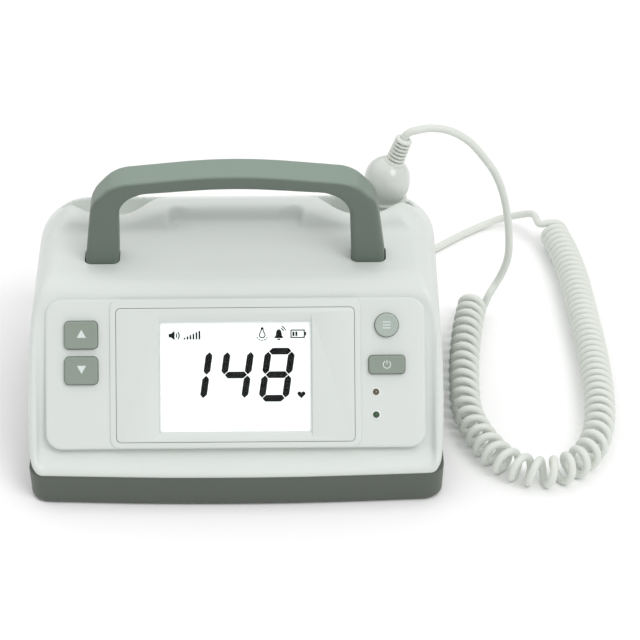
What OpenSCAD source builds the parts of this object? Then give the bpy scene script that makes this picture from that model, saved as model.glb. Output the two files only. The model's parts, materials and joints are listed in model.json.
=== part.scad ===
// Tabletop fetal doppler monitor with a carrying handle, a backlit display on a sloping
// front, four push buttons and a probe that rests in a cup at the back on a curly cord.
// Millimetres. X to the right, Y to the back, Z up. The origin is the middle of the
// footprint, on the table.

/* [Casing] */
// Width of the casing at its widest
body_w = 228; // [214:1:250]
// Depth of the casing, front to back
body_d = 188; // [184:1:200]
// Height of the flat deck that the handle stands on
deck_z = 105; // [101.5:0.5:110.5]
// Height of the ridge behind the deck
ridge_z = 116; // [112.5:0.5:120.5]
// Wall thickness of both casing halves
wall = 2.5; // [2:0.1:3]
// Height of the rubber feet
foot_h = 1; // [0.8:0.1:2]
// Height of the lower casing
tray_h = 17; // [15:0.5:20]
// Angle of the front panel from the table
slope_a = 55; // [52:1:58]
// Depth of the recess round the lower edge of the panel
dish_d = 5; // [3.5:0.5:6]

/* [Control panel] */
// Distance from the casing's widest side to the raised panel
panel_side = 11; // [9:0.5:15]
// Length of the raised panel along the slope
panel_l = 81.5; // [79:0.5:83]
// Thickness of the panel plate
panel_t = 2.5; // [2:0.1:3]
// Width of the panel's wings, which hold the buttons
wing_w = 35; // [33:0.5:37]
// Margin between the display frame and the panel's upper and lower edges
frame_edge = 4.5; // [3:0.5:6]
// Width of the display opening
window_w = 83.5; // [76:0.5:88]
// Margin between the display opening and its frame's upper and lower edges
window_edge = 2.75; // [2.5:0.25:5]

/* [Buttons] */
// Width of the two arrow buttons
arrow_w = 18; // [14:0.5:20]
// Length of the two arrow buttons along the slope
arrow_l = 15; // [12:0.5:16]
// Diameter of the round button
round_d = 12.8; // [10:0.2:15]
// Width of the power button
power_w = 19.5; // [15:0.5:22]
// Length of the power button along the slope
power_l = 10; // [8:0.5:12]
// Height of the buttons above the panel
button_h = 2.6; // [1.6:0.1:3.4]
// Travel of the buttons
button_travel = 0.8; // [0.4:0.1:1]
// Gap between a button and its hole
button_gap = 0.3; // [0.2:0.05:0.5]

/* [Handle] */
// Width of the handle over its feet
handle_w = 165; // [158:1:170]
// Height of the top of the grip above the deck
handle_h = 57; // [50:0.5:64]
// Depth of the grip, front to back
grip_d = 20.5; // [18:0.5:24]
// Depth of a handle foot, front to back
foot_d = 16; // [13:0.5:18]
// Width of a handle leg
leg_w = 19; // [16:0.5:22]
// Thickness of the grip at its middle
grip_t = 10; // [8:0.5:12]
// Depth of the sockets that the feet stand in
socket_depth = 6; // [4:0.5:8]

/* [Probe cups] */
// Inner diameter of a probe cup
cup_d = 58; // [54:0.5:59]
// Distance of each cup from the middle
cup_x = 70; // [68:0.5:72]
// Height of the floor of a cup
cup_floor_z = 72.5; // [72:0.5:76.5]

/* [Probe] */
// Diameter of the ball grip
ball_d = 25.6; // [22:0.2:27]
// Diameter of the neck under the ball
neck_d = 20.4; // [17:0.2:21]
// Diameter of the probe's head
head_d = 28; // [26:0.5:31]
// Height of the probe's head
head_h = 18; // [14:0.5:20]
// Lean of the strain relief to the right
boot_a = 20; // [10:1:24]
// Free length of the strain relief
boot_l = 16; // [12:0.5:20]

/* [Cord] */
// Diameter of the cord
cord_d = 4.4; // [4:0.1:4.6]
// Outer diameter of the curls
curl_d = 17.6; // [16:0.1:19]
// Pitch of the curls that lie pulled apart
loose_pitch = 8.5; // [7:0.1:10]
// Pitch of the curls that lie closed
close_pitch = 5.1; // [5.05:0.05:6]

/* [Sockets] */
// Height of the middle of the rear sockets
socket_z = 34; // [31:0.5:38]
// Bore of the earphone socket
ear_bore_d = 3.6; // [3.5:0.05:4]
// Depth of the earphone bore
ear_bore_l = 14; // [10:0.5:15]

/* [Hidden] */
$fn = 64;

casing_color = [0.87, 0.89, 0.87];
tray_color = [0.42, 0.46, 0.42];
grip_color = [0.50, 0.56, 0.51];
key_color = [0.62, 0.69, 0.64];
probe_color = [0.78, 0.79, 0.77];
cord_color = [0.83, 0.84, 0.81];
board_color = [0.10, 0.38, 0.20];
metal_color = [0.72, 0.73, 0.75];
dark_color = [0.12, 0.12, 0.13];

eps = 0.01;
fit = 0.3;                 // clearance between parts that are put together loosely
arc_n = 8;                 // steps of a rounded corner

front_y = -body_d / 2;
back_y = body_d / 2;
seam_z = foot_h + tray_h;
lip_h = 2;                 // tongue of the lower casing inside the upper one

// ---- plane figures -------------------------------------------------------------------

function unit(v) = v / norm(v);
function cross2(a, b) = a[0] * b[1] - a[1] * b[0];
function left_normal(a, b) = let(u = unit(b - a)) [-u[1], u[0]];
function line_meet(p, u, q, v) = p + u * (cross2(q - p, v) / cross2(u, v));

// The corner points of a counter-clockwise outline, each edge moved inwards by d
function inset(pts, d) = [for (i = [0:len(pts) - 1])
    let(a = pts[(i + len(pts) - 1) % len(pts)], p = pts[i], b = pts[(i + 1) % len(pts)])
    line_meet(p + left_normal(a, p) * d, p - a, p + left_normal(p, b) * d, b - p)];

// An arc of radius r in the corner p between its neighbours a and b
function fillet(a, p, b, r) = r <= 0 ? [p] :
    let(u = unit(a - p), v = unit(b - p), half = acos(u * v) / 2,
        c = p + unit(u + v) * r / sin(half), t = r / tan(half),
        s = p + u * t - c, e = p + v * t - c,
        a0 = atan2(s[1], s[0]), turn = (atan2(e[1], e[0]) - a0 + 540) % 360 - 180)
    [for (k = [0:arc_n]) c + r * [cos(a0 + turn * k / arc_n), sin(a0 + turn * k / arc_n)]];

// The outline with its corners rounded by the radii rs, moved inwards by d
function rounded(pts, rs, d = 0) = let(q = inset(pts, d), n = len(pts))
    [for (i = [0:n - 1])
        let(a = q[(i + n - 1) % n], p = q[i], b = q[(i + 1) % n],
            r = cross2(p - a, b - p) > 0 ? max(rs[i] - d, 0.4) : rs[i] + d)
        each fillet(a, p, b, rs[i] <= 0 ? 0 : r)];

module rounded_rect(w, l, r) {
    square([w - 2 * r, l], center = true);
    square([w, l - 2 * r], center = true);
    for (sx = [-1, 1], sy = [-1, 1])
        translate([sx * (w / 2 - r), sy * (l / 2 - r)]) circle(r);
}

// An outline in (y, z), w wide along X
module along_x(w) { rotate([90, 0, 90]) linear_extrude(w, center = true) children(); }

// An outline in (x, z), l long along Y
module along_y(l) { rotate([90, 0, 0]) linear_extrude(l, center = true) children(); }

// ---- casing outlines -----------------------------------------------------------------

brow_r = 18.6;             // round edge between panel and deck
seam_in = 1.5;             // the upper casing stands back from the tray's front by this
cheek_z = seam_z + 8.3;    // height where the cheeks meet the slope line
cheek_y = front_y + 10.2;
slope_dir = [cos(slope_a), sin(slope_a)];
slope_out = [-sin(slope_a), cos(slope_a)];
slope_foot = [cheek_y, cheek_z];
brow = line_meet(slope_foot, slope_dir, [0, deck_z], [1, 0]);
cup_y = back_y - 35.5;     // middle of the cups
cup_front_y = cup_y - cup_d / 2;
ridge_rise_y = cup_front_y - 2.2;
ridge_end_y = ridge_rise_y + 10;
back_in = 1;               // the upper casing stands back from the tray's rear by this
back_top = [back_y - back_in, ridge_z - 34];

// Both outlines of the upper casing start at the height z0
function side_pts(z0) = [[front_y + seam_in, z0], [back_y - back_in, z0], back_top,
            [ridge_end_y, ridge_z], [ridge_rise_y, ridge_z],
            [ridge_rise_y - 8, deck_z], brow, slope_foot,
            [front_y + seam_in + 1, seam_z + 5]];
side_rs = [0, 0, 12, 9, 4, 8, brow_r, 8, 4];

side_in = 2.5;             // the upper casing's sides draw in by this towards the seam
top_in = 10;               // and by this towards the top
top_r = 24;                // round edge between the sides and the top
function front_pts(z0) = [[-body_w / 2 + side_in, z0], [body_w / 2 - side_in, z0],
             [body_w / 2, seam_z + 30], [body_w / 2 - 0.4, seam_z + 58],
             [body_w / 2 - top_in, ridge_z + 0.3], [-body_w / 2 + top_in, ridge_z + 0.3],
             [-body_w / 2 + 0.4, seam_z + 58], [-body_w / 2, seam_z + 30]];
front_rs = [0, 0, 60, 180, top_r, top_r, 180, 60];
fall_a = atan((ridge_z - back_top[1]) / (back_top[0] - ridge_end_y));

// The rounded edges carry on down the top's fall to the rear; each face is moved in by d
module rear_roof(d) {
    w = body_w / 2 - top_in;
    translate([0, ridge_end_y, ridge_z + 0.3]) rotate([-fall_a, 0, 0]) along_y(3 * body_d)
        polygon(rounded([[-w - 50, -250], [w + 50, -250], [w, 0], [-w, 0]], [0, 0, top_r, top_r], d));
}

scoop_r = 60;              // the dip in each cup's front rim
scoop_depth = 6;
saddle_l = 21;
saddle_back = 3;           // the saddle's riser stands this far behind the cups' blocks
saddle_in = 5;             // from the saddle's side to the cup
saddle_r = 6;

front_bow = 5.5;
plan_pts = [[0, front_y], [body_w / 2, front_y + front_bow],
            [body_w / 2 - 2, back_y], [-body_w / 2 + 2, back_y],
            [-body_w / 2, front_y + front_bow]];
plan_rs = [1500, 11, 38, 38, 11];

module plan_prism(d, z0, z1) {
    translate([0, 0, z0]) linear_extrude(z1 - z0) polygon(rounded(plan_pts, plan_rs, d));
}

// The saddle in front of the ridge, between the blocks of the two cups, grown by d
module saddle(d) {
    translate([0, ridge_rise_y - saddle_l / 2 + saddle_back, deck_z - d + 20])
        linear_extrude(40, center = true)
            rounded_rect(2 * (cup_x - cup_d / 2 - saddle_in + d), saddle_l + 2 * d, saddle_r + d);
}

// The dip in the front rim of each cup, grown by d
module scoops(d) {
    for (sx = [-1, 1])
        translate([sx * cup_x, back_y + 10, ridge_z - scoop_depth + scoop_r]) rotate([90, 0, 0])
            cylinder(h = back_y - ridge_rise_y + 24, r = scoop_r + d);
}

// The upper casing as a block from the height z0, each face moved inwards by d
module casing_block(d, z0) {
    difference() {
        intersection() {
            along_x(body_w + 20) polygon(rounded(side_pts(z0), side_rs, d));
            along_y(body_d + 20) polygon(rounded(front_pts(z0), front_rs, d));
            plan_prism(d, foot_h, ridge_z + 10);
            rear_roof(d);
        }
        saddle(d);
        scoops(d);
    }
}

// ---- the panel's own frame: X right, Y up the slope, Z out of the panel ---------------

panel_foot = slope_foot + slope_dir * 4.9;
panel_mid = panel_foot + slope_dir * panel_l / 2;
module on_slope() {
    translate([0, panel_mid[0], panel_mid[1]]) rotate([slope_a, 0, 0]) children();
}
panel_r = 9;
panel_w = body_w - 2 * panel_side;
dish_side = 4.5;           // from the panel's side to the recess's
dish_w = panel_w + 2 * dish_side;
step_out = 3.5;            // the panel's raised middle reaches this far past the display frame
frame_w = panel_w - 2 * (wing_w + step_out);
frame_l = panel_l - 2 * frame_edge;
window_l = frame_l - 2 * window_edge;
dish_top = 0.8;            // depth of the recess at the panel's upper edge
dish_a = atan((dish_d - dish_top) / panel_l);
function dish_floor(v) = -dish_top - (panel_l / 2 - v) * tan(dish_a);
dish_gap = 1;              // from the panel's upper edge to the recess's

// What lies above the recess's floor, in the panel's frame
module above_dish(w) {
    along_x(w) polygon([[panel_l / 2 + 2, dish_floor(panel_l / 2 + 2)],
        [panel_l / 2 + 2, 30], [-panel_l, 30], [-panel_l, dish_floor(-panel_l / 2) + 9],
        [-panel_l / 2 - 19, dish_floor(-panel_l / 2) + 9],
        [-panel_l / 2, dish_floor(-panel_l / 2)]]);
}

module dish_cut() {
    on_slope() intersection() {
        above_dish(body_w);
        translate([0, -10, -30]) linear_extrude(60)
            rounded_rect(dish_w, panel_l + 2 * dish_gap + 20, 16);
    }
}

// Where each control sits on the panel
arrow_x = -panel_w / 2 + 19.6;
up_v = panel_l / 2 - arrow_l / 2 - 12;
down_v = up_v - arrow_l - 4.3;
right_x = panel_w / 2 - 21;
round_v = panel_l / 2 - round_d / 2 - 8.9;
power_v = round_v - round_d / 2 - power_l / 2 - 10;
led_x = right_x - 6;
led_v = [power_v - 14.8, power_v - 27.1];
led_d = 3;
frame_v = -0.9;            // middle of the display frame
window_v = -1.3;           // middle of the display opening
skirt_t = 2.5;
frame_rise = 0.9;          // the panel's middle stands this much higher

// Inside of the panel's skirt: the window in the upper casing follows it
skirt_in_w = panel_w - 2 * skirt_t;
skirt_in_l = panel_l - 2 * skirt_t;
shell_window_in = 3;       // the casing's seat under the panel's skirt

// ---- cups and probe ------------------------------------------------------------------

cup_wall = 2.5;
probe_x = cup_x + cup_d / 2 - head_d / 2 - 0.6;
probe_y = cup_y - 2;
face_z = cup_floor_z + fit;
face_h = 1.6;
head_top_z = face_z + face_h + head_h;
flare_h = 9;
neck_h = 7;
ball_z = head_top_z + flare_h + neck_h + sqrt(pow(ball_d / 2, 2) - pow(neck_d / 2, 2));
seat_r = 5.6;              // flat on the ball that the strain relief stands on
seat_h = sqrt(pow(ball_d / 2, 2) - pow(seat_r, 2));
boot_dir = [sin(boot_a), 0, cos(boot_a)];
ball_at = [probe_x, probe_y, ball_z];
boot_tip = ball_at + boot_dir * (seat_h + boot_l);

module cup_void(x, d) {
    translate([x, cup_y, cup_floor_z - (d > 0 ? cup_wall : 0)])
        cylinder(h = 80, r = cup_d / 2 + d);
}

// ---- handle --------------------------------------------------------------------------

leg_x = handle_w / 2 - leg_w / 2;
handle_front_y = brow[0] + 16.6;   // front face of handle, behind the brow's round edge
handle_lean = 5;           // the outer edges lean in by this over the leg's height
handle_out = [[-handle_w / 2, deck_z - socket_depth], [-handle_w / 2 + leg_w, deck_z - socket_depth],
              [-handle_w / 2 + leg_w + 1, deck_z + handle_h - 19],
              [-handle_w / 2 + leg_w + 14, deck_z + handle_h - grip_t - 3.6],
              [0, deck_z + handle_h - grip_t],
              [handle_w / 2 - leg_w - 14, deck_z + handle_h - grip_t - 3.6],
              [handle_w / 2 - leg_w - 1, deck_z + handle_h - 19],
              [handle_w / 2 - leg_w, deck_z - socket_depth], [handle_w / 2, deck_z - socket_depth],
              [handle_w / 2 - handle_lean, deck_z + handle_h - 20],
              [handle_w / 2 - 18.5, deck_z + handle_h - 6.5],
              [0, deck_z + handle_h],
              [-handle_w / 2 + 18.5, deck_z + handle_h - 6.5],
              [-handle_w / 2 + handle_lean, deck_z + handle_h - 20]];
handle_rs = [1, 1, 14, 14, 300, 14, 14, 1, 1, 18, 20, 300, 20, 18];
handle_screw_dy = 8;
pad_h = 3;                 // floor under a handle foot

// ---- inside --------------------------------------------------------------------------

board_t = 1.6;
stand_h = 2;
board_z = foot_h + wall + stand_h;
board_w = 0.509 * body_w;
board_l = 92;
board_x = 0.0965 * body_w;
board_y = back_y - 12 - board_l / 2;
key_board_z = -13.6;       // back of the key board, in the panel's frame
key_board_w = panel_w - 16;
key_board_l = panel_l - 13.5;
lcd_t = 2.8;
lens_t = 1;
lens_top = -2.4;
flange_t = 1;
flange_out = 1.4;
stem_end = -7.9;
switch_h = 3.9;
speaker_r = 24;
speaker_x = -45;
speaker_z = foot_h + tray_h + speaker_r + 4;
clamp_r = speaker_r + 3.4; // the clamp's screws stand round the speaker
rear_in_y = back_y - back_in - wall;
plug_x = 62;
dc_x = 12;
ear_x = 32;
battery_w = 0.307 * body_w;
battery_l = 38;
battery_h = 18;
battery_x = -0.272 * body_w;
battery_y = front_y + 62;
door_w = battery_w + 12;
door_l = battery_l + 12;
screw_x = body_w / 2 - 17;
screw_y = body_d / 2 - 22;
post_r = 4;
rib_t = 2.4;               // ribs that hold the posts of the upper casing
case_screw_r = 1.5;        // pilot holes of the case screws

// ---- casing --------------------------------------------------------------------------

tray_side = [[front_y, foot_h], [back_y, foot_h], [back_y, seam_z + 20], [front_y, seam_z + 20]];
tray_front = [[-body_w / 2 + 2, foot_h], [body_w / 2 - 2, foot_h],
              [body_w / 2 + 1, seam_z + 20], [-body_w / 2 - 1, seam_z + 20]];

tray_rs = [1.6, 1.6, 0, 0];

tongue_in = wall + side_in + seam_in + fit;
tongue_t = 1.6;

module tray_block(d, z1) {
    intersection() {
        along_x(body_w + 20) polygon(rounded(tray_side, tray_rs, d));
        along_y(body_d + 20) polygon(rounded(tray_front, tray_rs, d));
        plan_prism(d, foot_h, z1);
    }
}

module at_case_screws() {
    for (sx = [-1, 1], y = [-screw_y, back_y - 39])
        translate([sx * (screw_x - (y > 0 ? 6 : 0)), y, 0]) children();
}

module base_tray() {
    color(tray_color) difference() {
        union() {
            difference() {
                tray_block(0, seam_z);
                tray_block(wall, seam_z + 5);
            }
            // tongue inside the upper casing
            difference() {
                plan_prism(tongue_in, seam_z - 3, seam_z + lip_h);
                plan_prism(tongue_in + tongue_t, seam_z - 4, seam_z + lip_h + 1);
            }
            difference() {
                plan_prism(wall - eps, seam_z - 3, seam_z - 1.5);
                plan_prism(tongue_in + tongue_t, seam_z - 4, seam_z);
            }
            at_case_screws() translate([0, 0, foot_h]) cylinder(h = tray_h - fit, r = post_r);
            // standoffs of the main board
            for (sx = [-1, 1], sy = [-1, 1])
                translate([board_x + sx * (board_w / 2 - 6), board_y + sy * (board_l / 2 - 6), foot_h])
                    cylinder(h = wall + stand_h, r = 3.5);
            // walls of the battery compartment
            translate([battery_x, battery_y, foot_h]) difference() {
                translate([0, 0, 5]) cube([battery_w + 6, battery_l + 6, 10], center = true);
                cube([battery_w + 2, battery_l + 2, 40], center = true);
            }
        }
        // opening for the battery door, with a step that the door seats on
        translate([battery_x, battery_y, foot_h]) {
            cube([battery_w + 2, battery_l + 2, 20], center = true);
            cube([door_w, door_l, 2 * 1.2], center = true);
        }
        at_case_screws() translate([0, 0, -1]) {
            cylinder(h = 60, r = case_screw_r + 0.3);
            cylinder(h = foot_h + 1 + 3, r = 3.4);
        }
        // seats of the rubber feet
        at_feet() translate([0, 0, foot_h - 1]) cylinder(h = 2, r = 7);
    }
}

module at_feet() {
    for (sx = [-1, 1], sy = [-1, 1])
        translate([sx * (body_w / 2 - 34), sy * (body_d / 2 - 20), 0]) children();
}

module rubber_feet() {
    color(dark_color) at_feet() union() {
        cylinder(h = foot_h, r = 8);
        cylinder(h = foot_h + 1, r = 7);
    }
}

module case_screws() {
    color(metal_color) at_case_screws() translate([0, 0, foot_h + 1]) union() {
        cylinder(h = 2, r = 2.9);
        cylinder(h = tray_h + 5, r = case_screw_r - 0.1);
    }
}

module battery_door() {
    color(tray_color) translate([battery_x, battery_y, foot_h]) difference() {
        union() {
            translate([0, 0, 0.6]) cube([door_w - 2 * fit, door_l - 2 * fit, 1.2], center = true);
            translate([0, 0, 1.2 + 0.5])
                cube([battery_w + 2 - 2 * fit, battery_l + 2 - 2 * fit, 1], center = true);
        }
        // finger groove
        translate([0, -door_l / 2 + 9, -0.7]) cube([16, 5, 2], center = true);
    }
}

module battery_pack() {
    color([0.20, 0.35, 0.60])
        translate([battery_x, battery_y, foot_h + 2.2 + battery_h / 2]) union() {
            for (k = [-1, 0, 1]) translate([0, k * (battery_l - battery_h) / 2, 0])
                rotate([0, 90, 0]) cylinder(h = battery_w - 2, r = battery_h / 2, center = true);
            cube([battery_w - 2, battery_l * 0.62, battery_h], center = true);
        }
}

// Slots of the loudspeaker, cut through the rear wall
module speaker_slots() {
    for (k = [-3:3]) let(half = sqrt(pow(speaker_r - 4, 2) - pow(k * 5.4, 2)))
        translate([speaker_x, back_y - 2, speaker_z + k * 5.4])
            cube([2 * half, 12, 2.2], center = true);
}

module rear_holes() {
    translate([plug_x, back_y, socket_z]) rotate([90, 0, 0]) cylinder(h = 20, r = 8, center = true);
    translate([dc_x, back_y, socket_z]) rotate([90, 0, 0]) cylinder(h = 20, r = 4.6, center = true);
    translate([ear_x, back_y, socket_z]) rotate([90, 0, 0]) cylinder(h = 20, r = 3.6, center = true);
}

module at_handle_feet() {
    for (sx = [-1, 1]) translate([sx * leg_x, handle_front_y + foot_d / 2, 0]) children();
}

module top_shell() {
    color(casing_color) difference() {
        union() {
            difference() {
                casing_block(0, seam_z);
                difference() {
                    casing_block(wall, seam_z - wall - 1);
                    // walls of the cups
                    for (sx = [-1, 1]) cup_void(sx * cup_x, cup_wall);
                    // floor and seat under the panel
                    on_slope() intersection() {
                        translate([0, -3, -32]) linear_extrude(60)
                            square([dish_w + 6, panel_l + 14], center = true);
                        translate([0, 0, -wall]) above_dish(body_w);
                    }
                    // blocks round the handle's sockets
                    at_handle_feet()
                        translate([-leg_w / 2 - 4, -foot_d / 2 - 4, deck_z - socket_depth - pad_h])
                            cube([leg_w + 8, foot_d + 8, 20]);
                    // screw posts
                    at_case_screws() translate([0, 0, seam_z]) cylinder(h = 22, r = post_r);
                    at_case_screws() translate([-rib_t / 2, -post_r - 1, seam_z + 12])
                        cube([rib_t, 2 * post_r + 2, ridge_z]);
                    at_clamp() cylinder(h = wall + 1.5, r = 3);
                }
            }
        }
        dish_cut();
        on_slope() translate([0, 0, -30]) linear_extrude(40)
            rounded_rect(skirt_in_w - 2 * shell_window_in, skirt_in_l - 2 * shell_window_in, panel_r - 4);
        for (sx = [-1, 1]) cup_void(sx * cup_x, 0);
        at_handle_feet() {
            translate([0, 0, deck_z - socket_depth]) linear_extrude(40)
                rounded_rect(leg_w + 4 * fit, foot_d + 4 * fit, 0.8);
            for (dy = [-1, 1]) translate([0, dy * handle_screw_dy / 2, deck_z - 20])
                cylinder(h = 30, r = 1.7);
        }
        at_case_screws() translate([0, 0, seam_z - 1]) cylinder(h = 12, r = case_screw_r);
        speaker_slots();
        rear_holes();
    }
}

module handle() {
    color(grip_color) translate([0, handle_front_y, 0]) difference() {
        translate([0, grip_d / 2, 0]) along_y(grip_d) polygon(rounded(handle_out, handle_rs));
        // the legs are less deep than the grip
        translate([0, foot_d, 0]) along_x(handle_w + 10)
            polygon([[0, 0], [60, 0], [60, deck_z + handle_h - 14],
                     [grip_d - foot_d, deck_z + handle_h - 14], [0, deck_z + 22]]);
        for (sx = [-1, 1], dy = [-1, 1])
            translate([sx * leg_x, foot_d / 2 + dy * handle_screw_dy / 2, deck_z - socket_depth - 1])
                cylinder(h = 13, r = 1.2);
    }
}

module handle_screws() {
    color(metal_color) at_handle_feet() for (dy = [-1, 1])
        translate([0, dy * handle_screw_dy / 2, deck_z - socket_depth - pad_h]) union() {
            translate([0, 0, -1.8]) cylinder(h = 1.8, r = 2.8);
            cylinder(h = 12, r = 1.1);
        }
}

// ---- control panel -------------------------------------------------------------------

module control_panel() {
    color(casing_color) on_slope() difference() {
        union() {
            intersection() {
                translate([0, 0, -20]) linear_extrude(20) rounded_rect(panel_w, panel_l, panel_r);
                above_dish(body_w);
            }
            translate([0, frame_v, -1]) linear_extrude(1 + frame_rise)
                rounded_rect(frame_w + 2 * step_out, panel_l - frame_edge - abs(frame_v), 4);
        }
        translate([0, 0, -20]) linear_extrude(20 - panel_t)
            rounded_rect(skirt_in_w, skirt_in_l, panel_r - skirt_t);
        // seat and hole for the display frame
        translate([0, frame_v, frame_rise - 1.6]) linear_extrude(10)
            rounded_rect(frame_w + 0.2, frame_l + 0.2, 2.6);
        translate([0, window_v, -10]) linear_extrude(20)
            rounded_rect(window_w + 12, window_l - 4, 2);
        button_hole(arrow_x, up_v, arrow_w, arrow_l, 2.5);
        button_hole(arrow_x, down_v, arrow_w, arrow_l, 2.5);
        button_hole(right_x, power_v, power_w, power_l, 2);
        translate([right_x, round_v, -10]) cylinder(h = 20, r = round_d / 2 + button_gap);
        for (v = led_v) translate([led_x, v, -10]) cylinder(h = 20, r = led_d / 2 + 0.15);
    }
}

module button_hole(x, v, w, l, r) {
    translate([x, v, -10]) linear_extrude(20)
        rounded_rect(w + 2 * button_gap, l + 2 * button_gap, r + button_gap);
}

// The sloping walls of the display opening, above and below the glass
module window_cut() {
    along_x(window_w) polygon([[-window_l / 2, 5], [-window_l / 2, 0.9],
        [-window_l / 2 + 3.2, lens_top + 1.7], [-window_l / 2 + 3.2, -5],
        [window_l / 2 - 4.4, -5], [window_l / 2 - 4.4, lens_top + 1.7],
        [window_l / 2, 0.9], [window_l / 2, 5]]);
}

module display_frame() {
    color(casing_color) on_slope() difference() {
        union() {
            translate([0, frame_v, frame_rise - 1.6]) linear_extrude(1.6)
                rounded_rect(frame_w, frame_l, 2.5);
            translate([0, window_v, lens_top]) linear_extrude(2.4)
                rounded_rect(window_w + 11.6, window_l - 4.4, 2);
        }
        translate([0, window_v, 0]) window_cut();
        translate([0, window_v, lens_top - 1]) linear_extrude(1 + 0.8)
            rounded_rect(window_w + 6, window_l - 6, 1);
    }
}

module display_lens() {
    color([0.85, 0.92, 0.95, 0.35]) on_slope()
        translate([0, window_v, lens_top + 0.8 - lens_t]) linear_extrude(lens_t)
            rounded_rect(window_w + 5.6, window_l - 6.4, 1);
}

module lcd_module() {
    color([0.93, 0.96, 0.95]) on_slope()
        translate([0, window_v, lens_top + 0.8 - lens_t - lcd_t]) linear_extrude(lcd_t - 0.1)
            rounded_rect(window_w + 9, window_l - 1, 1);
}

module backlight() {
    color([0.97, 0.98, 1.0]) on_slope() translate([0, window_v, key_board_z + board_t])
        linear_extrude(lens_top + 0.8 - lens_t - lcd_t - key_board_z - board_t)
            rounded_rect(window_w + 11, window_l, 1);
}

// A key cap: head in the panel's hole, flange behind it, stem towards the switch
module key_stem(w, l) {
    translate([0, 0, -panel_t - 0.1 - flange_t]) linear_extrude(flange_t)
        square([w + 2 * flange_out, l + 2 * flange_out], center = true);
    translate([0, 0, stem_end]) cylinder(h = -stem_end - panel_t, r = 2);
}

module box_key(x, v, w, l, r) {
    color(key_color) on_slope() translate([x, v, 0]) union() {
        translate([0, 0, -panel_t - 0.1 - flange_t]) linear_extrude(button_h + panel_t + 0.1 + flange_t)
            rounded_rect(w, l, r);
        key_stem(w, l);
    }
}

module up_button() { box_key(arrow_x, up_v, arrow_w, arrow_l, 2.5); }
module down_button() { box_key(arrow_x, down_v, arrow_w, arrow_l, 2.5); }
module power_button() { box_key(right_x, power_v, power_w, power_l, 2); }
module mode_button() {
    color(key_color) on_slope() translate([right_x, round_v, 0]) union() {
        translate([0, 0, -panel_t - 0.1 - flange_t])
            cylinder(h = button_h + panel_t + 0.1 + flange_t, r = round_d / 2);
        translate([0, 0, -panel_t - 0.1 - flange_t])
            cylinder(h = flange_t, r = round_d / 2 + flange_out);
        translate([0, 0, stem_end]) cylinder(h = -stem_end - panel_t, r = 2);
    }
}

key_spots = [[arrow_x, up_v], [arrow_x, down_v], [right_x, power_v], [right_x, round_v]];

module key_switches() {
    color(dark_color) on_slope() for (p = key_spots)
        translate([p[0], p[1], key_board_z + board_t]) union() {
            translate([0, 0, (switch_h - 1) / 2]) cube([6, 6, switch_h - 1], center = true);
            cylinder(h = -key_board_z - board_t + stem_end - button_travel - 0.1, r = 1.7);
        }
}

module key_board() {
    color(board_color) on_slope() difference() {
        translate([0, -1, key_board_z]) linear_extrude(board_t)
            rounded_rect(key_board_w, key_board_l, 2);
        // mounting holes
        for (sx = [-1, 1], sy = [-1, 1])
            translate([sx * (key_board_w / 2 - 5), -1 + sy * (key_board_l / 2 - 4), key_board_z - 1])
                cylinder(h = 5, r = 1.4);
    }
}

module led(v, c) {
    color(c) on_slope() translate([led_x, v, 0]) union() {
        translate([0, 0, -3.6]) cylinder(h = 3.6, r = led_d / 2);
        intersection() {
            sphere(led_d / 2);
            cylinder(h = led_d, r = led_d / 2);
        }
        translate([0, 0, -4.6]) cylinder(h = 1, r = led_d / 2 + 0.35);
        for (sx = [-1, 1]) translate([sx * 1.27 - 0.25, -0.25, key_board_z + board_t])
            cube([0.5, 0.5, -key_board_z - board_t - 4.6 + 0.2]);
    }
}
module charge_led() { led(led_v[0], [0.55, 0.45, 0.30]); }
module power_led() { led(led_v[1], [0.15, 0.55, 0.25]); }

// ---- inside --------------------------------------------------------------------------

module main_board() {
    color(board_color) difference() {
        union() {
            translate([board_x, board_y, board_z]) linear_extrude(board_t)
                rounded_rect(board_w, board_l, 2);
            // signal chip, amplifier and coil
            translate([board_x - 20, board_y - 10, board_z + board_t]) cube([14, 14, 1.6]);
            translate([board_x + 20, board_y - 20, board_z + board_t]) cube([10, 8, 1.6]);
            translate([board_x + 44, board_y, board_z + board_t]) cylinder(h = 5, r = 5);
        }
        for (sx = [-1, 1], sy = [-1, 1])
            translate([board_x + sx * (board_w / 2 - 6), board_y + sy * (board_l / 2 - 6), board_z - 1])
                cylinder(h = 5, r = 1.5);
    }
}

module speaker() {
    color([0.25, 0.25, 0.27]) translate([speaker_x, rear_in_y - 0.1, speaker_z]) rotate([90, 0, 0])
        union() {
            difference() {
                cylinder(h = 1.5, r = speaker_r);
                translate([0, 0, -1]) cylinder(h = 1.6, r = speaker_r - 3);
            }
            difference() {
                cylinder(h = 8, r1 = speaker_r - 2, r2 = 13);
                translate([0, 0, -eps]) cylinder(h = 6.5, r1 = speaker_r - 3.5, r2 = 6);
            }
            cylinder(h = 6.6, r = 8);
            translate([0, 0, 7]) cylinder(h = 8, r = 14);
        }
}

// The clamp's screw posts, which stand on the rear wall and point to the front
module at_clamp() {
    for (a = [45, 135, 225, 315])
        translate([speaker_x + clamp_r * cos(a), back_y - back_in, speaker_z + clamp_r * sin(a)])
            rotate([90, 0, 0]) children();
}

module speaker_clamp() {
    color(dark_color) difference() {
        union() {
            translate([speaker_x, rear_in_y - 1.6, speaker_z]) rotate([90, 0, 0])
                cylinder(h = 2, r = speaker_r + 0.5);
            at_clamp() translate([0, 0, wall + 1.6]) cylinder(h = 2, r = 3.6);
        }
        translate([speaker_x, rear_in_y, speaker_z]) rotate([90, 0, 0])
            cylinder(h = 10, r = speaker_r - 1.7);
        at_clamp() cylinder(h = 20, r = 1.1);
    }
}

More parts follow.
